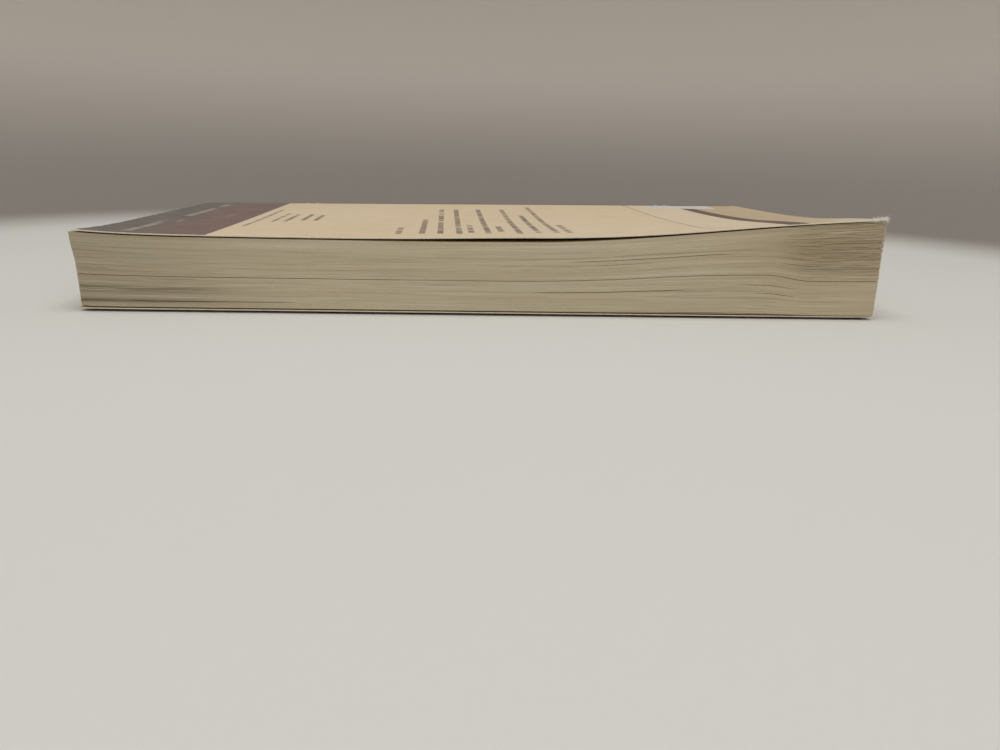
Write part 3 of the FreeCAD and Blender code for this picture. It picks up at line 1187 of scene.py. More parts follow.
@dataclass
class LeafBlock:
    """All the leaves: the trimmed rim of each, a core behind the rims, and the two outer leaves whole."""

    form: BookForm
    leaves: int = 160
    seed: int = 7
    rim_depth: float = 1.3 * MM
    core_inset: float = 0.5 * MM
    trim_unevenness: float = 0.05 * MM
    clump_unevenness: float = 0.12 * MM
    side_unevenness: float = 0.12 * MM
    packed_fill: float = 0.97
    fan_fill: float = 0.9
    fan_unevenness: float = 0.1 * MM
    leaf_inset: float = 0.03 * MM
    leaf_fill: float = 0.9
    head_top: float = 17.0 * MM
    head_lean: float = 0.5 * MM
    lean_height: float = 10.6 * MM
    lean_place: float = 0.88
    head_splay: float = 0.45 * MM
    splay_height: float = 3.0 * MM
    splay_place: float = 0.93
    bumped_along: float = 1.7 * MM
    bumped_across: float = 3.0 * MM
    bumped_height: float = 3.2 * MM
    fore_edge_segments: int = 84
    side_segments: int = 16
    tolerance: float = 1e-9
    leaf_grid: tuple[int, int] = (81, 41)
    core_grid: tuple[int, int] = (65, 33)
    fan_stretch: tuple[float, float] = (0.70, 0.86)
    fan_shares: tuple[float, float] = (0.42, 0.62)
    swell: float = 0.035
    swell_place: float = 0.53
    swell_spread: float = 0.22
    pinch: float = 0.07
    pinch_stretch: tuple[float, float] = (0.70, 0.82)
    opening_soft: float = 0.03
    opening_fade: float = 0.02
    openings: tuple[LeafOpening, ...] = (
        LeafOpening(0.442, -1.20, 1.20, 0.19 * MM),
        LeafOpening(0.272, 0.12, 0.47, 0.26 * MM),
        LeafOpening(0.715, 0.21, 0.60, 0.16 * MM),
        LeafOpening(0.648, 0.26, 0.41, 0.10 * MM),
        LeafOpening(0.087, -0.87, -0.50, 0.20 * MM),
        LeafOpening(0.330, 0.64, 0.77, 0.16 * MM),
        LeafOpening(0.240, 0.68, 0.77, 0.12 * MM),
        LeafOpening(0.600, 0.755, 0.84, 0.22 * MM),
        LeafOpening(0.815, 0.84, 1.20, 0.15 * MM),
        LeafOpening(0.755, 0.86, 1.20, 0.15 * MM),
        LeafOpening(0.795, 0.77, 0.85, 0.13 * MM),
        LeafOpening(0.930, 0.86, 1.20, 0.12 * MM),
    )

    def rim_path(self) -> tuple[np.ndarray, np.ndarray]:
        """The trimmed outline from the spine round by the head, the fore-edge and the tail.

        Returns:
            The outline's points and the outward direction at each, in plan.
        """
        x, y = self.form.half_height, self.form.half_width
        corners = [(-x, self.form.block_back), (-x, -y), (x, -y), (x, self.form.block_back)]
        counts = [self.side_segments, self.fore_edge_segments, self.side_segments]
        sides = [np.linspace(start, end, count, endpoint=False)
                 for start, end, count in zip(corners, corners[1:], counts)]
        path = np.concatenate([*sides, [corners[-1]]])
        at_head = path[:, 0] < -x + self.tolerance
        at_tail = path[:, 0] > x - self.tolerance
        at_fore_edge = path[:, 1] < -y + self.tolerance
        return path, np.stack([1.0 * at_tail - at_head, -1.0 * at_fore_edge], -1)

    def one_rim(self) -> Object:
        """The rim of a single leaf as a closed bar, with what the nodes need stored on its points.

        Returns:
            The rim.
        """
        path, outward = self.rim_path()
        inner = path - outward * self.rim_depth
        inner[:, 1] = np.minimum(inner[:, 1], self.form.block_back)
        points, faces = [], []
        for (ox, oy), (ix, iy) in zip(path, inner):
            points += [(ix, iy, 0.0), (ox, oy, 0.0), (ox, oy, 0.0), (ix, iy, 0.0)]
        for a in range(0, 4 * (len(path) - 1), 4):
            for side in range(4):
                following = (side + 1) % 4
                faces.append((a + side, a + 4 + side, a + 4 + following, a + following))
        last = 4 * (len(path) - 1)
        faces += [(0, 1, 2, 3), (last + 3, last + 2, last + 1, last)]
        rim = mesh_piece("leaf_rim", np.array(points), faces, [LeafEdgeFinish()], smooth=False)
        x, y = np.array(points)[:, 0], np.array(points)[:, 1]
        carried = {
            "leaf_side": np.tile([1.0, 1.0, -1.0, -1.0], len(path)),
            "leaf_outer": np.tile([0.0, 1.0, 1.0, 0.0], len(path)),
            "out_x": np.repeat(outward[:, 0], 4),
            "out_y": np.repeat(outward[:, 1], 4),
            "leaf_top": self.form.block_top(x, y),
            "leaf_across": self.form.across(y),
            "leaf_foot": self.form.foot_rise(x, y),
        }
        for name, values in carried.items():
            self.store(rim, name, values)
        return rim

    @staticmethod
    def store(piece: Object, name: str, values: np.ndarray) -> None:
        """Stores one number for each point of a piece's mesh."""
        attribute = piece.data.attributes.new(name, "FLOAT", "POINT")
        attribute.data.foreach_set("value", np.asarray(values, np.float32))

    def bumped(self, x: Amount, y: Amount, z: Amount) -> Amount:
        """How much of the corner is bumped away at a point, below 0 where it is whole."""
        missing = 1.0 - (x + self.form.half_height) / self.bumped_along
        return missing - (y + self.form.half_width) / self.bumped_across - z / self.bumped_height

    def sheet_grid(self, inset: float, columns: int, rows: int) -> tuple[np.ndarray, np.ndarray]:
        """Places over the block in plan.

        Args:
            inset: How far the grid stays inside the three trimmed sides.
            columns: How many points it has along the book.
            rows: How many points it has across the book.

        Returns:
            The x and the y of each point.
        """
        x = np.linspace(-self.form.half_height + inset, self.form.half_height - inset, columns)
        y = np.linspace(-self.form.half_width + inset, self.form.block_back, rows)
        return np.meshgrid(x, y)

    def whole_leaf(self, name: str, is_top: bool) -> Object:
        """The top or the bottom leaf as one closed sheet.

        Args:
            name: The leaf's name.
            is_top: Whether it is the top leaf.

        Returns:
            The leaf.
        """
        x, y = self.sheet_grid(self.leaf_inset, *self.leaf_grid)
        top = self.form.block_top(x, y)
        thickness = (top - self.form.block_floor) / self.leaves * self.leaf_fill
        foot = self.form.block_floor + self.form.foot_rise(x, y)
        upper = top if is_top else foot + thickness
        lower = upper - thickness
        share = -x / self.form.half_height
        if is_top:
            splay = smooth_step((share - self.splay_place) / (1 - self.splay_place))
            x = x - self.head_splay * splay * self.form.across(y) ** 2
        else:
            x = x + self.head_lean * np.clip((share - self.lean_place) / (1 - self.lean_place), 0, 1)
            missing = np.maximum(self.bumped(x, y, upper), 0)
            x = x + missing * self.bumped_along / 2
            y = y + missing * self.bumped_across / 2
        finishes = [LeafFaceFinish(), LeafEdgeFinish(), LeafFaceFinish()]
        leaf = Slab.between(x, y, upper, lower).piece(name, finishes)
        self.store(leaf, "leaf_share", np.full(len(leaf.data.vertices), 1.0 if is_top else 0.0))
        self.store(leaf, "leaf_tone", np.full(len(leaf.data.vertices), 0.5))
        return leaf

    def core(self) -> Object:
        """The closed mass of paper behind the rims.

        Returns:
            The core.
        """
        x, y = self.sheet_grid(self.core_inset, *self.core_grid)
        top = self.form.block_top(x, y)
        pitch = (top - self.form.block_floor) / self.leaves
        foot = self.form.block_floor + pitch / 2 + self.form.foot_rise(x, y)
        slab = Slab.between(x, y, top - pitch / 2, foot)
        core = slab.piece("leaf_core", [LeafEdgeFinish()] * 3, smooth=False)
        heights = slab.points()[:, 2]
        self.store(core, "leaf_share", (heights - self.form.block_floor) / self.head_top)
        self.store(core, "leaf_tone", np.full(len(heights), 0.5))
        return core

    def build(self) -> Object:
        """Stacks the leaves into one piece that stands for the page block.

        Returns:
            The finished piece.
        """
        rim = self.one_rim()
        rim.data = LeafStack(self).connect().grow(rim)
        sheets = [self.whole_leaf("top_leaf", True), self.whole_leaf("bottom_leaf", False)]
        stack = join_pieces("leaf_stack", [rim, self.core(), *sheets])
        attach(stack, "book_block")
        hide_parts("page_block")
        log.info("leaf_stack: %d leaves, %d faces", self.leaves, len(stack.data.polygons))
        return stack


class LeafStack(Growth):
    """The nodes that stack the rims of the leaves and set each one a little out of line."""

    def __init__(self, block: LeafBlock) -> None:
        """Adds the inputs for one block and reads what its rim carries.

        Args:
            block: The block whose leaves are stacked.
        """
        super().__init__("leaf_stack")
        self.block = block
        self.leaves = self.size("Leaves", block.leaves)
        self.seed = self.size("Seed", block.seed)
        self.trim = self.size("Trim unevenness", block.trim_unevenness)
        self.clumps = self.size("Clump unevenness", block.clump_unevenness)
        self.sides = self.size("Side unevenness", block.side_unevenness)
        self.packed = self.size("Packed fill", block.packed_fill)
        self.fanned = self.size("Fan fill", block.fan_fill)
        self.lean = self.size("Head lean", block.head_lean)
        self.share = self.read("leaf_share")
        self.number = self.share * self.leaves
        self.x, self.y, _ = self.split(self.step("GeometryNodeInputPosition"))
        self.along = self.x / block.form.half_height
        self.across = self.read("leaf_across").square()
        self.fan = self.along.ramp(*block.fan_stretch) * self.share.ramp(*block.fan_shares) * self.across
        self.own = self.random(0.0, 1.0, self.number, self.seed)

    def waves(self, length: float, rate: float, shift: float = 0.0, detail: float = 1.0) -> Field:
        """Noise along the leaves that changes slowly from leaf to leaf.

        Args:
            length: The length of one wave.
            rate: How much of a wave there is from one leaf to the next.
            shift: Picks another pattern.
            detail: How many finer layers it has.

        Returns:
            The noise.
        """
        return self.noise(self.x / length, self.y / length, self.number * rate + shift, detail)

    def stack(self) -> Socket:
        """Sets one rim for each leaf but the two outer ones, which are whole.

        Returns:
            The rims, not yet at their heights.
        """
        points = self.step("GeometryNodePoints", {"Count": self.leaves - 2.0})
        index = self.result(self.node("GeometryNodeInputIndex"))
        points = self.store(points, "leaf_share", (index + 1.5) / self.leaves)
        inputs = {"Points": points, "Instance": self.start.outputs["Geometry"]}
        rims = self.step("GeometryNodeInstanceOnPoints", inputs)
        return self.step("GeometryNodeRealizeInstances", {"Geometry": rims})

    def drift(self) -> Field:
        """How far the leaves wander from even spacing along the fore-edge, as a share of the block.

        Returns:
            The drift.
        """
        block = self.block
        swell = self.along.hill(block.swell_place, block.swell_spread) * block.swell
        pinch = self.along.ramp(*block.pinch_stretch) * block.pinch
        return (swell - pinch) * self.share.hill(0.45, 0.35)

    def height(self) -> Field:
        """Height of each point: uneven spacing, the openings and the leaf's own thickness.

        Returns:
            The heights.
        """
        block, share = self.block, self.share
        tall = self.read("leaf_top") - block.form.block_floor
        wander = (self.waves(26.0 * MM, 0.09) - 0.5) * 0.02
        ripple = (self.waves(9.0 * MM, 0.16, detail=2.0) - 0.5) * self.fan * 0.03
        place = share + (self.drift() + wander * share * (1.0 - share) * 4.0 + ripple) * self.across
        z = place * tall + block.form.block_floor
        for opening in block.openings:
            apart = share - round(opening.share * block.leaves) / block.leaves
            stretch = self.along.band(opening.start, opening.end, block.opening_soft) * self.across
            push = apart.sign() * (-abs(apart) / block.opening_fade).exp()
            z = z + push * stretch * (opening.width / 2)
        z = z + self.read("leaf_foot") * (1.0 - share).square().square()
        fill = self.packed - self.waves(14.0 * MM, 1.3).ramp(0.56, 0.72) * 0.12
        loose = self.waves(11.0 * MM, 0.8, 40.0).ramp(0.42, 0.62)
        fill = fill - self.fan * (self.packed - self.fanned) * loose
        return z + self.read("leaf_side") * tall / self.leaves * fill * 0.5

    def plan(self, z: Field) -> tuple[Field, Field]:
        """The x and y of each point: uneven trimming, the leaning head and the bumped corner.

        Args:
            z: The heights of the points.

        Returns:
            The places along and across the book.
        """
        block, out_x = self.block, self.read("out_x")
        back = self.own * self.trim + self.waves(60.0 * MM, 0.21, detail=2.0) * self.clumps
        back = (back + self.fan * self.own * block.fan_unevenness) * self.read("leaf_outer")
        uneven_end = self.noise(self.y / (50.0 * MM), self.along, self.number * 0.11 + 9.0, 2.0)
        x = self.x - out_x * (back + uneven_end * self.sides * abs(out_x))
        y = self.y - self.read("out_y") * back
        leaned = z.ramp(block.head_top, block.lean_height) * self.lean
        x = x + leaned * self.along.ramp(-block.lean_place, -1.0)
        splayed = z.ramp(block.splay_height, block.head_top) * self.along.ramp(-block.splay_place, -1.0)
        x = x - splayed * self.across * block.head_splay
        missing = block.bumped(x, y, z).most(0.0)
        return x + missing * (block.bumped_along / 2), y + missing * (block.bumped_across / 2)

    def connect(self) -> Growth:
        """Connects the whole tree.

        Returns:
            The tree, ready to grow.
        """
        z = self.height()
        x, y = self.plan(z)
        toned = self.store(self.stack(), "leaf_tone", self.own)
        moved = self.step("GeometryNodeSetPosition", {"Geometry": toned, "Position": self.vector(x, y, z)})
        flat = self.step("GeometryNodeSetShadeSmooth", {"Geometry": moved, "Shade Smooth": False})
        self.finish(flat, LeafEdgeFinish())
        return self


@dataclass
class CoverPanel:
    """One free panel of the cover card, from its trimmed sides to its hinge crease."""

    form: BookForm
    columns: int = 161
    rows: int = 80
    soft_edge: float = 0.05 * MM
    corner_rows: int = 7
    end_columns: tuple[float, ...] = (0.998, 0.9994, 1.0)

    def plan(self) -> tuple[np.ndarray, np.ndarray]:
        """Places over the panel in plan, closer together at its worn corners and its ends.

        Returns:
            The x and the y of each point.
        """
        radius = self.form.corner_radius
        turn = np.linspace(0, math.pi / 2, self.corner_rows)
        near = -self.form.half_width + radius * (1 - np.cos(turn))
        far = np.linspace(near[-1], self.form.panel_edge, self.rows - len(near) + 1)[1:]
        y = np.concatenate([near, far])
        ends = np.array(self.end_columns)
        middle = np.linspace(-1, 1, self.columns - 2 * (len(ends) - 1))[1:-1]
        spread = np.concatenate([-ends[::-1], middle, ends])
        return self.form.panel_reach(y)[:, None] * spread[None, :], np.repeat(y[:, None], len(spread), 1)

    def soften(self, upper: np.ndarray, lower: np.ndarray) -> None:
        """Rounds the rims of the two faces a little, as handling does.

        Args:
            upper: Heights of the upper face, changed in place.
            lower: Heights of the lower face, changed in place.
        """
        rim = np.zeros(upper.shape, bool)
        rim[0, :] = rim[:, 0] = rim[:, -1] = True
        upper[rim] -= self.soft_edge
        lower[rim] += self.soft_edge

    def make(self, name: str, upper: np.ndarray, lower: np.ndarray,
             finishes: list[Finish]) -> Object:
        """Makes the card between two height maps over the plan.

        Args:
            name: The piece's name.
            upper: Heights of its upper face.
            lower: Heights of its lower face.
            finishes: The finishes of its upper face, its cut edge and its lower face.

        Returns:
            The card.
        """
        x, y = self.plan()
        self.soften(upper, lower)
        return Slab.between(x, y, upper, lower).piece(name, finishes)


@dataclass
class BackCover(CoverPanel):
    """The upper panel, which follows the warped leaves and curls up at its tail corner."""

    ripple: float = 0.16 * MM
    ripple_places: tuple[float, float] = (79.0 * MM, 91.0 * MM)
    ripple_spread: float = 7.0 * MM
    ripple_start: float = -10.0 * MM
    ripple_run: float = 40.0 * MM
    hinge_run: float = 3.0 * MM
    tip_lift: float = 0.3 * MM
    tip_reach: float = 4.0 * MM
    tail_start: float = 62.0 * MM
    tail_run: float = 24.0 * MM
    tail_hump: float = 0.36 * MM
    tail_hump_place: float = 16.0 * MM
    tail_hump_spread: float = 14.0 * MM
    edge_droop: float = 0.22 * MM
    edge_droop_run: float = 4.0 * MM

    def build(self) -> Object:
        """Makes the panel with its ripples, its humped tail corner and its raised tip.

        Returns:
            The finished piece.
        """
        x, y = self.plan()
        under = self.form.cover_underside(x, y)
        to_spine = smooth_step((y - self.ripple_start) / self.ripple_run)
        to_spine = to_spine * smooth_step((self.form.panel_edge - y) / self.hinge_run)
        low, high = self.ripple_places
        wave = hill(x, high, self.ripple_spread) - hill(x, low, self.ripple_spread)
        under = under + self.ripple * wave * to_spine
        from_edge = self.form.half_width + y
        at_tail = smooth_step((x - self.tail_start) / self.tail_run)
        hump = hill(from_edge, self.tail_hump_place, self.tail_hump_spread)
        droop = np.clip(1 - from_edge / self.edge_droop_run, 0, 1) ** 2
        under = under + at_tail * (self.tail_hump * hump - self.edge_droop * droop)
        from_tip = np.hypot(self.form.half_height - x, from_edge)
        under = under + self.tip_lift * np.clip(1 - from_tip / self.tip_reach, 0, 1) ** 2
        upper = under + self.form.card
        finishes = [BackCoverPrint(), CardEdgeFinish(), CardInsideFinish()]
        panel = self.make("back_cover_card", upper, under, finishes)
        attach(panel, "back_panel")
        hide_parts("back_cover")
        log.info("back_cover_card: %d faces", len(panel.data.polygons))
        return panel


@dataclass
class FrontCover(CoverPanel):
    """The lower panel, nearly flat, which the book rests on."""

    columns: int = 121
    rows: int = 56

    def build(self) -> Object:
        """Makes the panel with its ends curved up a little.

        Returns:
            The finished piece.
        """
        x, y = self.plan()
        lower = self.form.foot_rise(x, y)
        upper = lower + self.form.card
        finishes = [CardInsideFinish(), CardEdgeFinish(), FrontCoverPrint()]
        panel = self.make("front_cover_card", upper, lower, finishes)
        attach(panel, "front_panel")
        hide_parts("front_cover")
        log.info("front_cover_card: %d faces", len(panel.data.polygons))
        return panel


@dataclass
class SpineCard:
    """The middle of the cover card, folded round the spine, with reading creases pressed into it."""

    form: BookForm
    stations: int = 150
    flank_points: int = 5
    fold_points: int = 7
    back_points: int = 49
    crease_depth: float = 0.07 * MM
    crease_half_width: float = 0.35 * MM
    tolerance: float = 1e-6

    def section(self, top: float, inset: float) -> np.ndarray:
        """The card's outline in y and z from the lower flank round the back to the upper flank.

        Args:
            top: Height of the upper flank's outer face.
            inset: How far the outline lies inside the outer face.

        Returns:
            The outline's points.
        """
        radius = self.form.fold_radius - inset
        back = self.form.half_width - inset
        low, high = inset, top - inset
        turn = np.linspace(0, math.pi / 2, self.fold_points)
        rise, fall = radius * np.sin(turn), radius * np.cos(turn)
        flank = np.linspace(self.form.hinge_line, back - radius, self.flank_points)
        spine = np.linspace(low + radius, high - radius, self.back_points)[1:-1]
        return np.concatenate([
            np.stack([flank, np.full(len(flank), low)], -1),
            np.stack([back - radius + rise, low + radius - fall], -1)[1:],
            np.stack([np.full(len(spine), back), spine], -1),
            np.stack([back - radius + fall, high - radius + rise], -1),
            np.stack([flank[::-1], np.full(len(flank), high)], -1)[1:],
        ])

    def ring(self, x: float, creases: tuple[float, ...]) -> np.ndarray:
        """The card's closed outline at one place along the book, outer face first.

        Args:
            x: The place.
            creases: Heights of the reading creases in millimetres.

        Returns:
            The outline's points.
        """
        top = float(self.form.spine_top(x))
        outer = self.section(top, 0.0)
        on_back = outer[:, 0] > self.form.half_width - self.tolerance
        for height in creases:
            pressed = hill(outer[on_back, 1], height * MM, self.crease_half_width)
            outer[on_back, 0] -= self.crease_depth * pressed
        ring = np.concatenate([outer, self.section(top, self.form.card)[::-1]])
        return np.concatenate([np.full((len(ring), 1), x), ring], 1)

    def build(self) -> Object:
        """Sweeps the outline along the book, with the creases pressed into its outer face.

        Returns:
            The finished piece.
        """
        print_finish = SpinePrint()
        places = np.linspace(-self.form.half_height, self.form.half_height, self.stations)
        rings = [self.ring(x, print_finish.crease_heights) for x in places]
        count = len(rings[0])
        half = count // 2
        faces, parts = [], []
        for station in range(self.stations - 1):
            a = station * count
            for point in range(count):
                following = (point + 1) % count
                faces.append((a + point, a + following, a + count + following, a + count + point))
                at_flank_end = point in (half - 1, count - 1)
                parts.append(1 if at_flank_end else (0 if point < half - 1 else 2))
        last = (self.stations - 1) * count
        for point in range(half - 1):
            opposite = count - 1 - point
            faces.append((point, opposite, opposite - 1, point + 1))
            faces.append((last + point + 1, last + opposite - 1, last + opposite, last + point))
            parts += [1, 1]
        finishes = [print_finish, CardEdgeFinish(), CardInsideFinish()]
        spine = mesh_piece("spine_card", np.concatenate(rings), faces, finishes, parts)
        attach(spine, "book_block")
        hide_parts("spine_cover")
        log.info("spine_card: %d faces", len(spine.data.polygons))
        return spine


class CoverSide(Enum):
    """The two cover panels, each with its body, its slot and the print that crosses its hinge."""

    BACK = ("back_panel", "back_card", BackCoverPrint())
    FRONT = ("front_panel", "front_card", FrontCoverPrint())


@dataclass
class HingeCrease:
    """The scored line of card between a panel and the spine, where the cover folds open."""

    form: BookForm
    side: CoverSide
    columns: int = 96
    bends: int = 9
    score_depth: float = 0.05 * MM

    def build(self) -> Object:
        """Makes the strip between the panel and the spine.

        Returns:
            The finished piece.
        """
        body, slot, print_finish = self.side.value
        start, end = self.form.panel_edge, self.form.hinge_line
        x, y = np.meshgrid(np.linspace(-self.form.half_height, self.form.half_height, self.columns),
                           np.linspace(start, end, self.bends))
        score = self.score_depth * (0.3 + 0.7 * np.sin((y - start) / (end - start) * math.pi))
        is_back = self.side is CoverSide.BACK
        if is_back:
            top = self.form.spine_top(x)
            upper, lower = top - score, top - self.form.card
            finishes = [print_finish, CardEdgeFinish(), CardInsideFinish()]
        else:
            upper, lower = np.full(x.shape, self.form.card), score
            finishes = [CardInsideFinish(), CardEdgeFinish(), print_finish]
        name = body.replace("panel", "crease")
        strip = Slab.between(x, y, upper, lower).piece(name, finishes)
        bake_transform(strip)
        log.info("%s: %d faces", name, len(strip.data.polygons))
        return strip


@dataclass
class FrayedTip:
    """Paper fibres and small flakes that stand out of the worn tail corner of the back cover."""

    form: BookForm
    fibres: int = 120
    flakes: int = 9
    seed: int = 11
    length: float = 1.25 * MM
    thickness: float = 0.045 * MM
    flake_size: float = 0.55 * MM
    reach: float = 2.6 * MM
    lift: float = 0.2 * MM
    corner_points: int = 9
    spread_up: tuple[float, float] = (-0.2 * MM, 0.3 * MM)
    spread_along: tuple[float, float] = (-0.2 * MM, 0.15 * MM)
    pitches: tuple[float, float] = (0.2, 2.0)
    yaws: tuple[float, float] = (-2.2, 0.5)
    scales: tuple[float, float] = (0.35, 1.0)

    def corner_line(self) -> Object:
        """A short line of points along the card's cut edge round the worn corner.

        Returns:
            The line.
        """
        radius = self.form.corner_radius
        cx, cy = self.form.half_height - radius, -self.form.half_width + radius
        turn = np.linspace(-math.pi / 2, 0, self.corner_points)
        x = np.concatenate([[cx - self.reach], cx + radius * np.cos(turn), [cx + radius]])
        y = np.concatenate([[cy - radius], cy + radius * np.sin(turn), [cy + self.reach * 0.4]])
        middle = self.form.cover_underside(x, y) + self.form.card / 2 + self.lift
        mesh = bpy.data.meshes.new("corner_line")
        mesh.from_pydata(list(zip(x, y, middle)), [(i, i + 1) for i in range(len(x) - 1)], [])
        return add_object("corner_line", mesh)

    def tree(self) -> Growth:
        """The nodes that set bent, tapered fibres and small flakes at random along the line.

        Returns:
            The tree, ready to grow.
        """
        grow = Growth("frayed_tip")
        fibres = grow.size("Fibres", self.fibres)
        seed = grow.size("Seed", self.seed)
        length = grow.size("Length", self.length)
        thickness = grow.size("Thickness", self.thickness)
        flakes = grow.size("Flakes", self.flakes)
        flake_size = grow.size("Flake size", self.flake_size)
        index = grow.result(grow.node("GeometryNodeInputIndex"))
        up = grow.random(*self.spread_up, index, seed + 1.0)
        along = grow.random(*self.spread_along, index, seed + 2.0)
        pitch = grow.random(*self.pitches, index, seed + 3.0)
        yaw = grow.random(*self.yaws, index, seed + 4.0)
        scale = grow.random(*self.scales, index, seed + 5.0)
        turned = {"Rotation": grow.vector(0.0, pitch, yaw), "Scale": scale}
        line = grow.step("GeometryNodeMeshToCurve", {"Mesh": grow.start.outputs["Geometry"]})
        joined = grow.node("GeometryNodeJoinGeometry")
        flake_sides = grow.vector(flake_size, flake_size * 0.8, thickness)
        flake = grow.step("GeometryNodeMeshCube", {"Size": flake_sides})
        flake_offset = grow.vector(along * 2.0, along * 2.0, up * 1.6 + 0.1 * MM)
        fibre_offset = grow.vector(along, along, up)
        kinds = ((flakes, flake, flake_offset), (fibres, self.fibre(grow, length, thickness), fibre_offset))
        for count, shape, offset in kinds:
            points = grow.step("GeometryNodeResampleCurve", {"Curve": line, "Count": count})
            points = grow.step("GeometryNodeCurveToPoints", {"Curve": points, "Count": count})
            points = grow.step("GeometryNodeSetPosition", {"Geometry": points, "Offset": offset})
            inputs = {"Points": points, "Instance": shape, **turned}
            grow.plug(joined.inputs[0], grow.step("GeometryNodeInstanceOnPoints", inputs))
        grow.finish(joined.outputs[0], CardFluffFinish())
        return grow

    def fibre(self, grow: Growth, length: Field, thickness: Field) -> Socket:
        """One tapered fibre, bent over along its length.

        Args:
            grow: The tree.
            length: The fibre's length.
            thickness: The fibre's radius at its root.

        Returns:
            The fibre's mesh.
        """
        inputs = {"Vertices": 5, "Side Segments": 3, "Radius Top": thickness * 0.3}
        inputs |= {"Radius Bottom": thickness, "Depth": length}
        cone = grow.step("GeometryNodeMeshCone", inputs)
        x, y, z = grow.split(grow.step("GeometryNodeInputPosition"))
        bent = grow.vector(x + z.square() / self.length * 0.6, y, z)
        return grow.step("GeometryNodeSetPosition", {"Geometry": cone, "Position": bent})

    def build(self) -> Object:
        """Grows the fibres and lets them ride on the back cover.

        Returns:
            The finished piece.
        """
        tip = self.corner_line()
        tip.data = self.tree().grow(tip)
        tip.name = "frayed_tip"
        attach(tip, "back_panel")
        log.info("frayed_tip: %d fibres, %d faces", self.fibres, len(tip.data.polygons))
        return tip


@dataclass
class GlueLine:
    """The adhesive between the leaves and the spine, whose solid keeps its shape."""

    node: str = "spine_glue"

    def build(self) -> Object:
        """Gives the solid its finish.

        Returns:
            The solid.
        """
        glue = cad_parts[self.node]
        glue.data.materials.clear()
        glue.data.materials.append(GlueFinish().material())
        log.info("%s: finish only", self.node)
        return glue


@dataclass
class Stage:
    """A round floor of pale paper that curves up into a backdrop on every side."""

    floor_height: float = -0.6 * MM
    floor_rings: tuple[float, ...] = (0.02, 0.1, 0.2)
    flat_radius: float = 0.31
    curve_radius: float = 0.16
    wall_height: float = 0.5
    around: int = 128
    bend_rings: int = 17

    def build(self) -> Object:
        """Turns the floor's profile round the middle.

        Returns:
            The floor.
        """
        bend = np.linspace(0, math.pi / 2, self.bend_rings)
        radii = [*self.floor_rings, *(self.flat_radius + self.curve_radius * np.sin(bend))]
        heights = [0.0] * len(self.floor_rings) + [*(self.curve_radius * (1 - np.cos(bend)))]
        radii.append(radii[-1])
        heights.append(self.wall_height)
        points = [(0.0, 0.0, self.floor_height)]
        for radius, height in zip(radii, heights):
            for step in range(self.around):
                turn = 2 * math.pi * step / self.around
                x, y = radius * math.cos(turn), radius * math.sin(turn)
                points.append((x, y, height + self.floor_height))
        faces = []
        for step in range(self.around):
            following = (step + 1) % self.around
            faces.append((0, 1 + step, 1 + following))
            for ring in range(len(radii) - 1):
                a = 1 + ring * self.around
                b = a + self.around
                faces.append((a + step, b + step, b + following, a + following))
        floor = mesh_piece("floor", np.array(points), faces, [StageFinish()])
        log.info("floor: %d faces", len(floor.data.polygons))
        return floor


@dataclass(frozen=True)
class Lamp:
    """One soft rectangular lamp: its name, place, aim, size and power."""

    name: str
    place: Point
    aim: Point
    size: tuple[float, float]
    power: float
    colour: tuple[float, float, float] = (1.0, 1.0, 0.985)

    def build(self) -> Object:
        """Hangs the lamp and turns it to its aim.

        Returns:
            The lamp.
        """
        light = bpy.data.lights.new(self.name, "AREA")
        light.shape = "RECTANGLE"
        light.size, light.size_y = self.size
        light.energy = self.power
        light.color = self.colour
        lamp = add_object(self.name, light)
        lamp.location = self.place
        lamp.visible_camera = False
        lamp.rotation_mode = "QUATERNION"
        lamp.rotation_quaternion = (Vector(self.aim) - Vector(self.place)).to_track_quat("-Z", "Y")
        return lamp


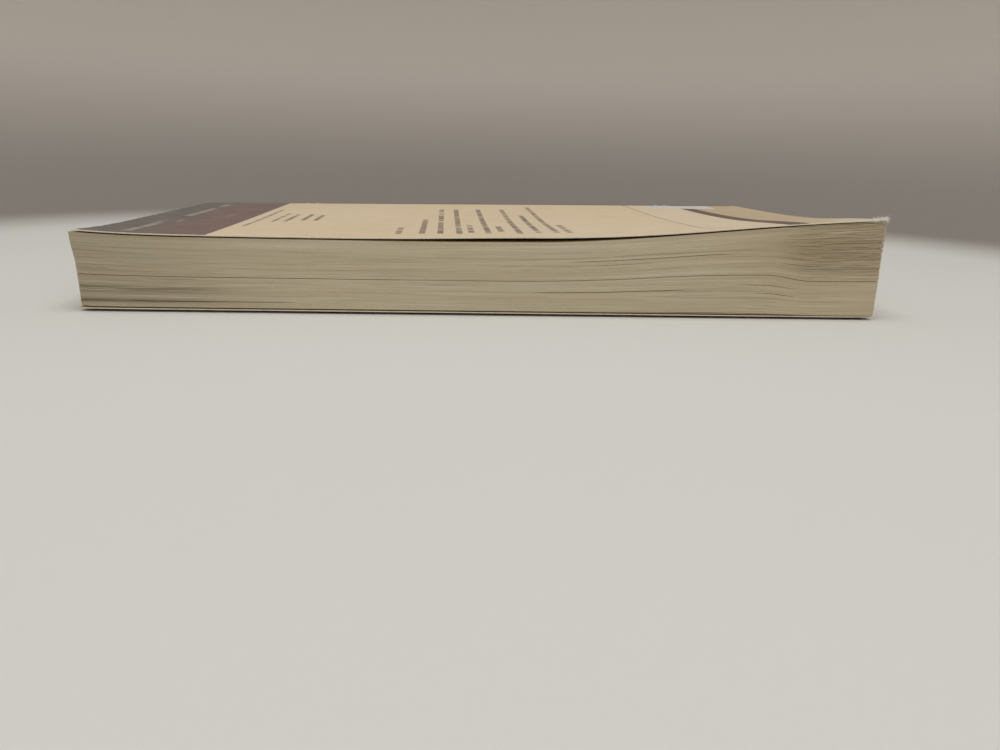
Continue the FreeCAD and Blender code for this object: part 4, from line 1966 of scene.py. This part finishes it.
@dataclass
class Studio:
    """Plain soft light: one wide lamp overhead, a fill from the front and an even surround."""

    lamps: tuple[Lamp, ...] = (
        Lamp("overhead", (0.0, -0.12, 0.72), (0.0, 0.0, 0.0), (0.62, 0.40), 2.36),
        Lamp("front_fill", (0.0, -0.4, 0.22), (0.0, 0.0, 0.15), (0.44, 0.2), 0.18),
    )
    surround: float = 0.32
    surround_colour: Colour = (1.0, 1.0, 0.99, 1.0)

    def build(self) -> None:
        """Sets up the lamps and the surround."""
        for lamp in self.lamps:
            lamp.build()
        world = bpy.data.worlds.new("surround")
        world.use_nodes = True
        background = world.node_tree.nodes["Background"]
        background.inputs["Color"].default_value = self.surround_colour
        background.inputs["Strength"].default_value = self.surround
        bpy.context.scene.world = world
        bpy.context.scene.view_settings.view_transform = "Standard"
        log.info("studio: %d lamps", len(self.lamps))


@dataclass(frozen=True)
class Viewpoint:
    """The camera, placed and turned as the photograph's was, with its angles in degrees."""

    place: Point = (-0.01093, -0.237648, 0.03782)
    pitch: float = 16.105
    yaw: float = 4.25
    roll: float = 1.531
    focal_length_px: float = 780.5
    photo_width_px: float = 1000.0
    sensor_width_mm: float = 36.0
    clip_start: float = 0.01

    def build(self) -> Object:
        """Makes the camera and hands it to the scene.

        Returns:
            The camera.
        """
        pitch, yaw, roll = (math.radians(angle) for angle in (self.pitch, self.yaw, self.roll))
        level = Vector((math.sin(yaw), math.cos(yaw), 0.0))
        sideways = Vector((math.cos(yaw), -math.sin(yaw), 0.0))
        upright = Vector((0.0, 0.0, 1.0))
        forward = level * math.cos(pitch) - upright * math.sin(pitch)
        raised = level * math.sin(pitch) + upright * math.cos(pitch)
        right = sideways * math.cos(roll) + raised * math.sin(roll)
        up = raised * math.cos(roll) - sideways * math.sin(roll)
        data = bpy.data.cameras.new("camera")
        data.sensor_width = self.sensor_width_mm
        data.lens = self.focal_length_px / self.photo_width_px * self.sensor_width_mm
        data.clip_start = self.clip_start
        camera = add_object("camera", data)
        axes = Matrix((right, up, -forward)).transposed()
        camera.matrix_world = Matrix.Translation(self.place) @ axes.to_4x4()
        bpy.context.scene.camera = camera
        return camera


def main() -> None:
    """Builds the book and its stage in order."""
    logging.basicConfig(level=logging.INFO, format="%(name)s %(message)s")
    form = BookForm()
    Viewpoint().build()
    Studio().build()
    Stage().build()
    LeafBlock(form).build()
    GlueLine().build()
    SpineCard(form).build()
    BackCover(form).build()
    FrontCover(form).build()
    for side in CoverSide:
        HingeCrease(form, side).build()
    FrayedTip(form).build()


if __name__ == "__main__":
    main()
